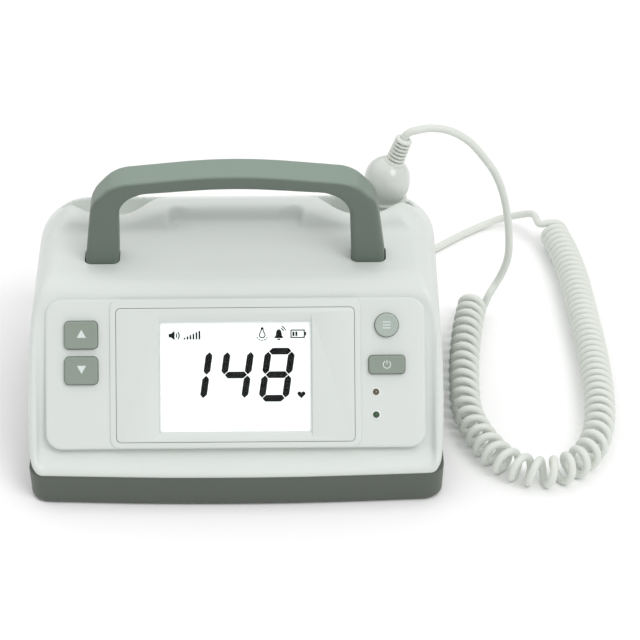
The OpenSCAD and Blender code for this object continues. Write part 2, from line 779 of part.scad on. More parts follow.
// A socket body through the rear wall, its flange outside; its axis is at the origin
module rear_socket(r, flange_r, bore_r, bore_l, body_l, face_t) {
    rotate([90, 0, 0]) difference() {
        union() {
            cylinder(h = body_l, r = r);
            translate([0, 0, -face_t]) cylinder(h = face_t, r = flange_r);
            translate([0, 0, wall + 0.1]) cylinder(h = 2, r = flange_r);
        }
        translate([0, 0, -face_t - 1]) cylinder(h = bore_l + 1, r = bore_r);
    }
}
wall_y = back_y - back_in;       // outer face of the rear wall
sock_face = 1.5;

module probe_socket() {
    color(metal_color) translate([plug_x, wall_y, socket_z])
        rear_socket(7.8, 10, 6.2, 9, 14, sock_face);
}
module dc_jack() {
    color(dark_color) translate([dc_x, wall_y, socket_z]) union() {
        rear_socket(4.4, 6, 2.8, 10, 14, sock_face);
        rotate([90, 0, 0]) translate([0, 0, 1]) cylinder(h = 9, r = 0.95);
    }
}
module ear_jack() {
    color(dark_color) translate([ear_x, wall_y, socket_z])
        rear_socket(3.4, 4.8, ear_bore_d / 2, ear_bore_l, 16, sock_face);
}

// ---- probe ---------------------------------------------------------------------------

module at_probe() { translate([probe_x, probe_y, 0]) children(); }

module probe_head() {
    color(probe_color) at_probe() difference() {
        rotate_extrude() polygon([[0, face_z + face_h], [head_d / 2 - 1, face_z + face_h],
            [head_d / 2, face_z + face_h + 1], [head_d / 2, head_top_z - 1.5],
            [head_d / 2 - 1.5, head_top_z], [0, head_top_z]]);
        translate([0, 0, face_z + face_h - 1]) cylinder(h = head_h - 3, r = head_d / 2 - 2);
    }
}

module probe_face() {
    color([0.35, 0.37, 0.38]) at_probe() translate([0, 0, face_z]) union() {
        cylinder(h = face_h, r = head_d / 2 - 1);
        cylinder(h = face_h + 1.4, r = head_d / 2 - 2.2);
    }
}

module probe_crystals() {
    color(metal_color) at_probe() for (sx = [-1, 1])
        translate([0, 0, face_z + face_h + 1.4]) intersection() {
            cylinder(h = 1, r = head_d / 2 - 4);
            translate([sx * 20.6, 0, 0]) cube([40, 60, 10], center = true);
        }
}

module probe_grip() {
    flare = [for (k = [0:6]) let(a = 90 * k / 6)
        [neck_d / 2 + (head_d / 2 - 1.5 - neck_d / 2) * (1 - sin(a)), head_top_z + flare_h * (1 - cos(a))]];
    color(probe_color) difference() {
        union() {
            at_probe() rotate_extrude() polygon(concat([[0, head_top_z]], flare,
                [[neck_d / 2, ball_z - sqrt(pow(ball_d / 2, 2) - pow(neck_d / 2, 2))], [0, ball_z]]));
            translate(ball_at) sphere(ball_d / 2);
        }
        translate(ball_at) rotate([0, boot_a, 0]) {
            translate([0, 0, seat_h]) cylinder(h = 10, r = ball_d / 2);
            cylinder(h = 40, r = 3.4);
        }
    }
}

boot_ribs = 6;
module probe_boot() {
    color(cord_color) translate(ball_at) rotate([0, boot_a, 0]) translate([0, 0, seat_h])
        ribbed_boot(boot_l, 4.9, 4.2, boot_ribs, 3.3);
}

// A tapered strain relief with grooves, and a stub r_in thick that goes into its seat
module ribbed_boot(l, r0, r1, ribs, r_in) {
    step = l / (ribs + 0.5);
    difference() {
        union() {
            cylinder(h = l, r1 = r0, r2 = r1);
            translate([0, 0, -4]) cylinder(h = 5, r = r_in);
        }
        for (k = [0:ribs - 1]) translate([0, 0, step * (k + 0.75)])
            difference() {
                cylinder(h = step * 0.45, r = r0 + 2);
                translate([0, 0, -1]) cylinder(h = 4, r = r0 + (r1 - r0) * (k + 1) / (ribs + 0.5) - 0.9);
            }
    }
}

// ---- cord ----------------------------------------------------------------------------

curl_r = curl_d / 2 - cord_d / 2;
coil_z = curl_d / 2 + 0.05;
curl_rings = 8;
curl_sides = 6;

// Middle line of the curly part on the table, from its end by the probe
coil_route = [[136.5, 91.5], [132.5, 69.5], [130, 48.5], [128, 23.5], [127.5, 3.5], [127.5, -13.5],
              [130.5, -30.5], [136.5, -47.5], [145.5, -63.5], [156.5, -72.5], [167.5, -76], [179, -73],
              [189, -64.5], [197, -49.5], [201.5, -28.5], [203, -2.5], [202.5, 34.5], [200, 73.5],
              [197, 113.5], [193, 141.5], [187, 168.5]];
coil_last = len(coil_route) - 1;
function coil_pt(i) = coil_route[min(max(i, 0), coil_last)];
function coil_mid(t) = let(i = min(floor(t), coil_last - 1), u = t - i,
        a = i > 0 ? coil_pt(i - 1) : 2 * coil_pt(0) - coil_pt(1), b = coil_pt(i),
        c = coil_pt(i + 1), d = i + 2 <= coil_last ? coil_pt(i + 2) : 2 * coil_pt(i + 1) - coil_pt(i))
    0.5 * (2 * b + (c - a) * u + (2 * a - 5 * b + 4 * c - d) * u * u + (3 * b - a - 3 * c + d) * u * u * u);

// Pitch of the curls along the route: pulled apart at first, closed on the far leg
bend_pitch = loose_pitch + 0.6;
function coil_pitch(t) = lookup(t, [[0, loose_pitch - 1.5], [1.5, loose_pitch], [6, bend_pitch],
    [13, bend_pitch], [15.5, close_pitch + 0.7], [17, close_pitch], [coil_last, close_pitch]]);

fine = 10;
mid_steps = [for (k = [0:coil_last * fine]) k / fine];
turn_steps = [for (k = [1:len(mid_steps) - 1])
    norm(coil_mid(mid_steps[k]) - coil_mid(mid_steps[k - 1]))
        / coil_pitch((mid_steps[k] + mid_steps[k - 1]) / 2)];
turn_table = [for (k = 0, s = 0; k < len(mid_steps);
                   s = s + (k < len(turn_steps) ? turn_steps[k] : 0), k = k + 1)
    [s, mid_steps[k]]];
first_turn = 110 / 360;    // the cord comes down on the curl's right side
last_turn = floor(turn_table[len(turn_table) - 1][0]);
turns = last_turn - first_turn;

// A point of the cord's middle line after s turns from the top of the first curl
function curl_pt(s) = let(t = lookup(s, turn_table), m = coil_mid(t),
        dir = unit(coil_mid(min(t + 0.02, coil_last)) - coil_mid(max(t - 0.02, 0))),
        side = [-dir[1], dir[0]], a = 360 * s)
    [m[0] + curl_r * sin(a) * side[0], m[1] + curl_r * sin(a) * side[1], coil_z + curl_r * cos(a)];
function curl_dir(s) = unit(curl_pt(s + 0.01) - curl_pt(s - 0.01));

ring_count = round(turns * curl_rings);
curl_line = [for (k = [0:ring_count]) curl_pt(first_turn + turns * k / ring_count)];
curl_in = curl_line[0] - curl_dir(first_turn) * cord_d;
curl_out_dir = curl_dir(last_turn);
curl_out = curl_line[ring_count] + curl_out_dir * cord_d;
curl_path = concat([curl_in], curl_line, [curl_out]);

// Least gap between the cord and itself, one curl on
curl_gap = min([for (k = [1:ring_count - curl_rings - 1]) min([for (j = [-2:2])
    norm(curl_line[k] - curl_line[min(k + curl_rings + j, ring_count)]) - cord_d])]);
echo(str("curls ", turns, ", least gap ", curl_gap, " mm, cord in the curls ",
    line_length(curl_path), " mm"));

function line_length(p) = [for (k = 1, s = norm(p[1] - p[0]); k < len(p);
    k = k + 1, s = s + (k < len(p) ? norm(p[k] - p[k - 1]) : 0)) s][len(p) - 2];

// A tube of given diameter and sides through the points p, its ends square to the route
function path_dir(p, k) = unit(p[min(k + 1, len(p) - 1)] - p[max(k - 1, 0)]);
function ring_axis(t) = unit(cross(t, abs(t[2]) < 0.9 ? [0, 0, 1] : [0, 1, 0]));
function turned(v, t) = unit(v - t * (v * t));
function ring_axes(p) = [for (k = 0, v = ring_axis(path_dir(p, 0)); k < len(p);
    k = k + 1, v = k < len(p) ? turned(v, path_dir(p, k)) : v) v];
module tube(p, d, sides) {
    axes = ring_axes(p);
    pts = [for (k = [0:len(p) - 1]) let(t = path_dir(p, k), u = axes[k], w = cross(t, u))
        each [for (j = [0:sides - 1]) let(a = 360 * j / sides) p[k] + d / 2 * (cos(a) * u + sin(a) * w)]];
    n = len(p);
    skin = [for (k = [0:n - 2], j = [0:sides - 1])
        let(a = k * sides + j, b = k * sides + (j + 1) % sides)
        each [[a, a + sides, b], [b, a + sides, b + sides]]];
    cap0 = [for (j = [1:sides - 2]) [0, j, j + 1]];
    cap1 = [for (j = [1:sides - 2]) let(z = (n - 1) * sides) [z, z + j + 1, z + j]];
    polyhedron(pts, concat(skin, cap0, cap1));
}

module curly_cord() { color(cord_color) tube(curl_path, cord_d, curl_sides); }

// From the strain relief over to the curls
lead_route = [[96.9, 57, 145.7], [101, 57.8, 146.4], [109, 61, 145.7], [119.5, 64, 142],
              [130, 68, 133], [138.5, 74, 119.5], [146.5, 80, 103.5], [151.5, 84, 87.5],
              [154.5, 87, 70.7], [156, 89.8, 54.3], [156, 92, 39.8], [153.5, 93.5, 28.5],
              [149.5, 93.5, 19.5]];
lead_start = boot_tip + boot_dir * cord_d / 2;
lead_path = concat([boot_tip, lead_start], lead_route,
    [curl_in - curl_dir(first_turn) * cord_d, curl_in]);
module probe_lead() { color(cord_color) tube(lead_path, cord_d, 8); }

// From the curls along the table and up to the plug
plug_l = 16;
plug_boot_l = 20;
plug_end = [plug_x, wall_y + sock_face + plug_l + plug_boot_l, socket_z];
device_route = [[176, 177, 14], [167, 182, 10], [157, 184.5, 6], [147, 182.5, 3],
                [136.5, 175.5, 2.3], [125.5, 166, 2.3], [115, 156.5, 2.3], [104, 149.5, 2.3],
                [93, 146.5, 3], [82, 148, 7], [73, 150, 14.5], [66, 149.5, 23.5]];
device_path = concat([curl_out, curl_out + curl_out_dir * cord_d], device_route,
    [plug_end + [0, 2 * cord_d, -1.5], plug_end + [0, cord_d, 0], plug_end]);
module device_lead() { color(cord_color) tube(device_path, cord_d, 8); }

module probe_plug() {
    color(dark_color) translate([plug_x, wall_y + sock_face, socket_z]) rotate([-90, 0, 0]) union() {
        cylinder(h = plug_l, r = 7);
        translate([0, 0, plug_l * 0.35]) cylinder(h = plug_l * 0.45, r = 7.6);
        translate([0, 0, -7]) cylinder(h = 8, r = 5.8);
    }
}

module plug_boot() {
    color(cord_color) translate([plug_x, wall_y + sock_face + plug_l, socket_z])
        rotate([-90, 0, 0]) ribbed_boot_outer(plug_boot_l, 5.5, 3.3, 7);
}

module ribbed_boot_outer(l, r0, r1, ribs) {
    step = l / (ribs + 0.5);
    difference() {
        cylinder(h = l, r1 = r0, r2 = r1);
        for (k = [0:ribs - 1]) translate([0, 0, step * (k + 0.75)])
            difference() {
                cylinder(h = step * 0.45, r = r0 + 2);
                translate([0, 0, -1]) cylinder(h = 4, r = r0 + (r1 - r0) * (k + 1) / (ribs + 0.5) - 0.8);
            }
    }
}

base_tray();
top_shell();
control_panel();
display_frame();
display_lens();
lcd_module();
backlight();
up_button();
down_button();
mode_button();
power_button();
key_board();
key_switches();
charge_led();
power_led();
main_board();
battery_pack();
battery_door();
speaker();
speaker_clamp();
handle();
handle_screws();
rubber_feet();
case_screws();
probe_socket();
dc_jack();
ear_jack();
probe_grip();
probe_head();
probe_face();
probe_crystals();
probe_boot();
probe_lead();
curly_cord();
device_lead();
probe_plug();
plug_boot();
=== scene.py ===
# %% [markdown]
# # A tabletop fetal heart monitor
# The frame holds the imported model: its bodies, nodes and joints, all in metres.
# Everything below is made in that same frame, so nothing has to be fitted.

# %% Load the frame
import json
import math

import bmesh
import bpy
import numpy as np
from mathutils import Matrix, Vector


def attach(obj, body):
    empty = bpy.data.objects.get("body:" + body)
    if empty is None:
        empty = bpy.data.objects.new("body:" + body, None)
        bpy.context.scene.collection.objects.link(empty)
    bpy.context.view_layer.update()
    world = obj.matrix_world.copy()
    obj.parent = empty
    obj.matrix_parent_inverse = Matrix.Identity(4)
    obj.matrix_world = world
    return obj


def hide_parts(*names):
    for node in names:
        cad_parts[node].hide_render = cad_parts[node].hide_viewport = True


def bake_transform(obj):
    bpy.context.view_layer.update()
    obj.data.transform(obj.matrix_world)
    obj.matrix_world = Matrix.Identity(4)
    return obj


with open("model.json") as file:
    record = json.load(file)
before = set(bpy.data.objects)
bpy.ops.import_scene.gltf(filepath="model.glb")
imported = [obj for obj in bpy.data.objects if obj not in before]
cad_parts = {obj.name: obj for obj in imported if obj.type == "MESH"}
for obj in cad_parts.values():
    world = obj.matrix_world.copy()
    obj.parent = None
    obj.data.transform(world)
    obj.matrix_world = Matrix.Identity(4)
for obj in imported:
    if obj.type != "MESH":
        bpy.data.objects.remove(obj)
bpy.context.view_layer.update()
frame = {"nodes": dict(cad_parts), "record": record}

# %% [markdown]
# ## Sizes
# The casing's sizes are the CAD's, in millimetres. The script works in millimetres too,
# and each mesh is turned into metres when it is made.

# %% Sizes
MM = 0.001
BODY_W, BODY_D = 228.0, 188.0
FRONT_Y, BACK_Y = -BODY_D / 2, BODY_D / 2
DECK_Z, RIDGE_Z = 105.0, 116.0
FOOT_H, TRAY_H = 1.0, 17.0
SEAM_Z = FOOT_H + TRAY_H
WALL = 2.5
SLOPE = math.radians(55)
BROW_R = 18.6
SEAM_IN, SIDE_IN, BACK_IN, TOP_IN, TOP_R = 1.5, 2.5, 1.0, 10.0, 24.0
CUP_X, CUP_D, CUP_FLOOR = 70.0, 58.0, 72.5
CUP_Y = BACK_Y - 35.5
RISE_Y = CUP_Y - CUP_D / 2 - 2.2
PANEL_W, PANEL_L, PANEL_T, PANEL_R = 206.0, 81.5, 2.5, 9.0
DISH_D, DISH_TOP = 5.0, 0.8
DISH_W = BODY_W - 13
CORD_D, CURL_D = 4.4, 17.6

# %% [markdown]
# ## Camera
# The photograph was taken from 34.5 degrees above the table with a long lens. The camera
# also rolls by less than half a degree, which lowers the picture's left side a little.

# %% Camera
CAMERA_TARGET = Vector((46, -14, 68.2)) * MM
CAMERA_DISTANCE = 1.8
CAMERA_TILT = math.radians(34.5)
CAMERA_ROLL = math.radians(0.45)
FOCAL_PIXELS, PICTURE = 3264, 640


def make_camera():
    data = bpy.data.cameras.new("camera")
    data.sensor_width = 36
    data.lens = data.sensor_width * FOCAL_PIXELS / PICTURE
    camera = bpy.data.objects.new("camera", data)
    bpy.context.collection.objects.link(camera)
    forward = Vector((0, math.cos(CAMERA_TILT), -math.sin(CAMERA_TILT)))
    up = Vector((0, math.sin(CAMERA_TILT), math.cos(CAMERA_TILT)))
    right = Vector((1, 0, 0))
    c, s = math.cos(CAMERA_ROLL), math.sin(CAMERA_ROLL)
    axes = (right * c - up * s, right * s + up * c, -forward)
    turn = Matrix([[axes[col][row] for col in range(3)] for row in range(3)]).to_4x4()
    camera.matrix_world = Matrix.Translation(CAMERA_TARGET - forward * CAMERA_DISTANCE) @ turn
    bpy.context.scene.camera = camera
    return camera


camera = make_camera()
print("camera at", [round(v, 3) for v in camera.location], "lens", round(camera.data.lens, 1))

# %% [markdown]
# ## Mesh helpers
# Most pieces are made from points and faces worked out in numpy. A few helpers turn them
# into objects, mark the sharp edges, cut one mesh with another and round edges.

# %% Mesh helpers


def make_object(name, points, faces, at=None):
    """An object from points in millimetres, moved by the matrix at if there is one."""
    mesh = bpy.data.meshes.new(name)
    mesh.from_pydata([tuple(p) for p in np.asarray(points, float)], [], faces)
    if at is not None:
        mesh.transform(at)
    mesh.transform(Matrix.Scale(MM, 4))
    mesh.update()
    thing = bpy.data.objects.new(name, mesh)
    bpy.context.collection.objects.link(thing)
    return thing


def raised(flat, z):
    """Points of a plane at the height z."""
    return np.column_stack([flat, np.full(len(flat), z)])


def circle(r, sides):
    turns = 2 * math.pi * np.arange(sides) / sides
    return np.column_stack([r * np.cos(turns), r * np.sin(turns)])


def skin_faces(rings, n):
    """Faces of a closed skin over rings of n points each."""
    faces = [tuple(reversed(range(n)))]
    for k in range(rings - 1):
        for j in range(n):
            a, b = k * n + j, k * n + (j + 1) % n
            faces.append((a, b, b + n, a + n))
    return faces + [tuple(range((rings - 1) * n, rings * n))]


def shade(thing, angle=35):
    """Smooth shading with edges sharper than the angle kept crisp."""
    work = bmesh.new()
    work.from_mesh(thing.data)
    for face in work.faces:
        face.smooth = True
    for edge in work.edges:
        edge.smooth = len(edge.link_faces) != 2 or edge.calc_face_angle(0) < math.radians(angle)
    work.to_mesh(thing.data)
    work.free()
    return thing


def apply_modifiers(thing):
    """The evaluated mesh takes the place of the mesh and its modifiers."""
    graph = bpy.context.evaluated_depsgraph_get()
    mesh = bpy.data.meshes.new_from_object(thing.evaluated_get(graph))
    thing.modifiers.clear()
    thing.data = mesh
    return thing


def combine(thing, other, operation="DIFFERENCE", solver="MANIFOLD"):
    """Cuts other from thing, or joins the two into one solid."""
    step = thing.modifiers.new(operation.lower(), "BOOLEAN")
    step.operation = operation
    step.solver = solver
    step.object = other
    bpy.context.view_layer.update()
    apply_modifiers(thing)
    bpy.data.objects.remove(other, do_unlink=True)
    return thing


def round_edges(thing, width, segments=3, angle=40):
    """A small radius on every edge sharper than the angle."""
    work = bmesh.new()
    work.from_mesh(thing.data)
    bmesh.ops.remove_doubles(work, verts=work.verts, dist=0.00002)
    bmesh.ops.dissolve_limit(work, angle_limit=math.radians(1.5),
                             verts=work.verts, edges=work.edges)
    work.to_mesh(thing.data)
    work.free()
    step = thing.modifiers.new("rounded edges", "BEVEL")
    step.width = width * MM
    step.segments = segments
    step.limit_method = "ANGLE"
    step.angle_limit = math.radians(angle)
    step.miter_outer = "MITER_ARC"
    step.use_clamp_overlap = True
    return apply_modifiers(thing)


def merge(name, things):
    """Several objects as one mesh."""
    work = bmesh.new()
    for thing in things:
        work.from_mesh(thing.data)
        bpy.data.objects.remove(thing, do_unlink=True)
    mesh = bpy.data.meshes.new(name)
    work.to_mesh(mesh)
    work.free()
    joined = bpy.data.objects.new(name, mesh)
    bpy.context.collection.objects.link(joined)
    return joined


def triangles(thing):
    return sum(len(p.vertices) - 2 for p in thing.data.polygons)


print("helpers ready")

# %% [markdown]
# ## Cord
# The cord is one fixed length: a plain lead rises over the probe, comes down on the right,
# winds into a long row of curls that lies in a U on the table, and runs behind the device
# to a plug. It could be a curve with a bevel; here it is one mesh tube. The routes are
# the same points as the CAD's.

# %% Cord route
COIL_ROUTE = np.array([
    [136.5, 91.5], [132.5, 69.5], [130, 48.5], [128, 23.5], [127.5, 3.5], [127.5, -13.5],
    [130.5, -30.5], [136.5, -47.5], [145.5, -63.5], [156.5, -72.5], [167.5, -76], [179, -73],
    [189, -64.5], [197, -49.5], [201.5, -28.5], [203, -2.5], [202.5, 34.5], [200, 73.5],
    [197, 113.5], [193, 141.5], [187, 168.5]])
LEAD_ROUTE = np.array([
    [96.9, 57, 145.7], [101, 57.8, 146.4], [109, 61, 145.7], [119.5, 64, 142],
    [130, 68, 133], [138.5, 74, 119.5], [146.5, 80, 103.5], [151.5, 84, 87.5],
    [154.5, 87, 70.7], [156, 89.8, 54.3], [156, 92, 39.8], [153.5, 93.5, 28.5],
    [149.5, 93.5, 19.5]])
DEVICE_ROUTE = np.array([
    [176, 177, 14], [167, 182, 10], [157, 184.5, 6], [147, 182.5, 3],
    [136.5, 175.5, 2.3], [125.5, 166, 2.3], [115, 156.5, 2.3], [104, 149.5, 2.3],
    [93, 146.5, 3], [82, 148, 7], [73, 150, 14.5], [66, 149.5, 23.5]])
LOOSE_PITCH, CLOSE_PITCH = 8.5, 5.1
FIRST_TURN = 110 / 360
COIL_Z = CURL_D / 2 + 0.05
CURL_R = CURL_D / 2 - CORD_D / 2
COIL_LAST = len(COIL_ROUTE) - 1


def smooth_point(route, t):
    """A point on the smooth curve through the route, t counting the points."""
    i = min(int(t), len(route) - 2)
    u = t - i
    b, c = route[i], route[i + 1]
    a = route[i - 1] if i > 0 else 2 * b - c
    d = route[i + 2] if i + 2 < len(route) else 2 * c - b
    return 0.5 * (2 * b + (c - a) * u + (2 * a - 5 * b + 4 * c - d) * u ** 2
                  + (3 * b - a - 3 * c + d) * u ** 3)


def coil_pitch(t):
    """Curls are pulled apart on the near leg and closed on the far one."""
    bend = LOOSE_PITCH + 0.6
    return np.interp(t, [0, 1.5, 6, 13, 15.5, 17, COIL_LAST],
                     [LOOSE_PITCH - 1.5, LOOSE_PITCH, bend, bend,
                      CLOSE_PITCH + 0.7, CLOSE_PITCH, CLOSE_PITCH])


def coil_turns(fine=10):
    """How many curls have been wound at each tenth of a route point."""
    steps = np.arange(COIL_LAST * fine + 1) / fine
    middle = np.array([smooth_point(COIL_ROUTE, t) for t in steps])
    lengths = np.linalg.norm(np.diff(middle, axis=0), axis=1)
    turns = lengths / coil_pitch((steps[1:] + steps[:-1]) / 2)
    return np.concatenate([[0], np.cumsum(turns)]), steps


TURN_TABLE = coil_turns()
LAST_TURN = math.floor(TURN_TABLE[0][-1])


def curl_point(s):
    t = np.interp(s, *TURN_TABLE)
    m = smooth_point(COIL_ROUTE, t)
    run = (smooth_point(COIL_ROUTE, min(t + 0.02, COIL_LAST))
           - smooth_point(COIL_ROUTE, max(t - 0.02, 0)))
    run = run / np.linalg.norm(run)
    side = np.array([-run[1], run[0]])
    a = 2 * math.pi * s
    x, y = m + CURL_R * math.sin(a) * side
    return np.array([x, y, COIL_Z + CURL_R * math.cos(a)])


def curl_direction(s):
    d = curl_point(s + 0.01) - curl_point(s - 0.01)
    return d / np.linalg.norm(d)


print("curls:", round(LAST_TURN - FIRST_TURN, 2))

# %% [markdown]
# The probe's place gives the start of the lead. Between the given points the lead follows
# a smooth curve with several rings for each centimetre, and each curl gets 28 rings.

# %% Cord line
BALL_D, NECK_D, HEAD_D, HEAD_H = 25.6, 20.4, 28.0, 18.0
BOOT_TILT, BOOT_L = math.radians(20), 16.0
PROBE_X = CUP_X + CUP_D / 2 - HEAD_D / 2 - 0.6
PROBE_Y = CUP_Y - 2
FACE_Z, FACE_H = CUP_FLOOR + 0.3, 1.6
HEAD_TOP = FACE_Z + FACE_H + HEAD_H
FLARE_H, NECK_H = 9.0, 7.0
BALL_Z = HEAD_TOP + FLARE_H + NECK_H + math.sqrt((BALL_D / 2) ** 2 - (NECK_D / 2) ** 2)
BALL = np.array([PROBE_X, PROBE_Y, BALL_Z])
SEAT_R = 5.6
SEAT_H = math.sqrt((BALL_D / 2) ** 2 - SEAT_R ** 2)
BOOT_DIR = np.array([math.sin(BOOT_TILT), 0, math.cos(BOOT_TILT)])
BOOT_TIP = BALL + BOOT_DIR * (SEAT_H + BOOT_L)
PLUG_X, SOCKET_Z = 62.0, 34.0
WALL_Y = BACK_Y - BACK_IN
SOCK_FACE, PLUG_L, PLUG_BOOT_L = 1.5, 16.0, 20.0
PLUG_END = np.array([PLUG_X, WALL_Y + SOCK_FACE + PLUG_L + PLUG_BOOT_L, SOCKET_Z])


def smooth_line(route, step=2.5):
    """Points about a step apart on the smooth curve through the route."""
    line = []
    for i in range(len(route) - 1):
        count = max(1, round(np.linalg.norm(route[i + 1] - route[i]) / step))
        line += [smooth_point(route, i + k / count) for k in range(count)]
    return np.array(line + [route[-1]])


def cord_line():
    first, last = curl_direction(FIRST_TURN), curl_direction(LAST_TURN)
    rings = round((LAST_TURN - FIRST_TURN) * 28)
    curls = np.array([curl_point(FIRST_TURN + (LAST_TURN - FIRST_TURN) * k / rings)
                      for k in range(rings + 1)])
    start = curls[0] - first * CORD_D
    end = curls[-1] + last * CORD_D
    lead = np.vstack([BOOT_TIP - BOOT_DIR * 3, BOOT_TIP + BOOT_DIR * CORD_D / 2, LEAD_ROUTE,
                      start - first * CORD_D, start, curls[0]])
    tail = np.vstack([curls[-1], end, end + last * CORD_D, DEVICE_ROUTE,
                      PLUG_END + [0, 2 * CORD_D, -1.5], PLUG_END + [0, CORD_D, 0],
                      PLUG_END - [0, 3, 0]])
    return np.vstack([smooth_line(lead)[:-1], curls, smooth_line(tail)[1:]])[::-1]


CORD_LINE = cord_line()

# %% [markdown]
# The tube carries its rings along the line without twisting: each ring's first axis is
# the last one turned as little as possible. Its flat ends are hidden in the reliefs.

# %% Cord mesh


def tube(name, line, radius, sides=14):
    line = np.asarray(line, float)
    runs = np.gradient(line, axis=0)
    runs /= np.linalg.norm(runs, axis=1)[:, None]
    axis = np.cross(runs[0], [0, 0, 1.0] if abs(runs[0][2]) < 0.9 else [0, 1.0, 0])
    ring, points = circle(radius, sides), []
    for at, run in zip(line, runs):
        axis = axis - run * axis.dot(run)
        axis /= np.linalg.norm(axis)
        points.append(at + ring @ np.array([axis, np.cross(run, axis)]))
    return shade(make_object(name, np.vstack(points), skin_faces(len(line), sides)), 60)


cord = tube("probe_cord", CORD_LINE, CORD_D / 2)
print("cord faces:", triangles(cord))

# %% [markdown]
# ## Solids from distances
# The upper casing is one moulding in which every form melts into the next: a brow, a deck,
# a riser, two cups and a recess. Bevelling such a shape edge by edge is slow and fragile.
# Here it is written as a distance instead, negative inside and positive outside, which
# makes a rounded edge between two forms one line of arithmetic. A mesh is then wrapped
# round the places where the distance is zero.

# %% Distances


def corner_arc(a, p, b, r, steps=16):
    u, v = (a - p) / np.linalg.norm(a - p), (b - p) / np.linalg.norm(b - p)
    half = math.acos(max(-1, min(1, float(u @ v)))) / 2
    if r <= 0 or half > math.radians(89.5):
        return [p]
    middle = p + (u + v) / np.linalg.norm(u + v) * r / math.sin(half)
    start = p + u * r / math.tan(half) - middle
    end = p + v * r / math.tan(half) - middle
    a0 = math.atan2(start[1], start[0])
    turn = (math.atan2(end[1], end[0]) - a0 + 3 * math.pi) % (2 * math.pi) - math.pi
    angles = [a0 + turn * k / steps for k in range(steps + 1)]
    return [middle + r * np.array([math.cos(a), math.sin(a)]) for a in angles]


def rounded(points, radii):
    """An outline with each corner rounded by its radius."""
    points = [np.array(p, float) for p in points]
    n = len(points)
    out = []
    for i in range(n):
        out += corner_arc(points[i - 1], points[i], points[(i + 1) % n], radii[i])
    return np.array(out)


def outline_distance(points, a, b):
    best = np.full(np.broadcast(a, b).shape, 1e12)
    inside = np.zeros(best.shape, bool)
    for p, q in zip(points, np.roll(points, -1, axis=0)):
        e = q - p
        size = e @ e
        if size < 1e-12:
            continue
        t = np.clip(((a - p[0]) * e[0] + (b - p[1]) * e[1]) / size, 0, 1)
        best = np.minimum(best, (a - p[0] - t * e[0]) ** 2 + (b - p[1] - t * e[1]) ** 2)
        if e[1] != 0:
            crosses = ((p[1] <= b) & (b < q[1])) | ((q[1] <= b) & (b < p[1]))
            inside ^= crosses & (a < p[0] + (b - p[1]) * e[0] / e[1])
    return np.where(inside, -1, 1) * np.sqrt(best)


def outline_table(points, margin=14, step=0.5):
    """The outline's distance on a fine grid, read back between its points."""
    low = points.min(axis=0) - margin
    count = np.ceil((points.max(axis=0) + margin - low) / step).astype(int) + 2
    grid = outline_distance(points, low[0] + step * np.arange(count[0])[:, None],
                            low[1] + step * np.arange(count[1])[None, :])

    def read(a, b):
        fa = np.clip((a - low[0]) / step, 0, count[0] - 1.001)
        fb = np.clip((b - low[1]) / step, 0, count[1] - 1.001)
        i, j = fa.astype(int), fb.astype(int)
        fa, fb = fa - i, fb - j
        return ((grid[i, j] * (1 - fa) + grid[i + 1, j] * fa) * (1 - fb)
                + (grid[i, j + 1] * (1 - fa) + grid[i + 1, j + 1] * fa) * fb)
    return read


def both(a, b, r):
    """What two forms share, with a rounded edge of radius r where they meet."""
    return np.minimum(np.maximum(a, b), -r) + np.hypot(np.maximum(a + r, 0), np.maximum(b + r, 0))


def either(a, b, r):
    """Two forms together, with a fillet of radius r in the corner between them."""
    return np.maximum(np.minimum(a, b), r) - np.hypot(np.maximum(r - a, 0), np.maximum(r - b, 0))


def without(a, b, r):
    """The first form with the second cut away, the new edges rounded by r."""
    return both(a, -b, r)


def rect_distance(a, b, w, l, r):
    """Distance to a rectangle w by l whose corners have the radius r."""
    da, db = np.abs(a) - w / 2 + r, np.abs(b) - l / 2 + r
    return np.hypot(np.maximum(da, 0), np.maximum(db, 0)) + np.minimum(np.maximum(da, db), 0) - r


print("distance helpers ready")

# %% [markdown]
# The wrapping is the surface nets method: a point in every grid cell that the surface
# passes through, and a square face across every grid edge that it crosses. The points are
# then slid along the slope of the distance until they lie on the surface itself.

# %% Surface nets
CELL_CORNERS = np.array([[i, j, k] for i in (0, 1) for j in (0, 1) for k in (0, 1)])
CELL_EDGES = [(a, b) for a in range(8) for b in range(a + 1, 8)
              if np.abs(CELL_CORNERS[a] - CELL_CORNERS[b]).sum() == 1]


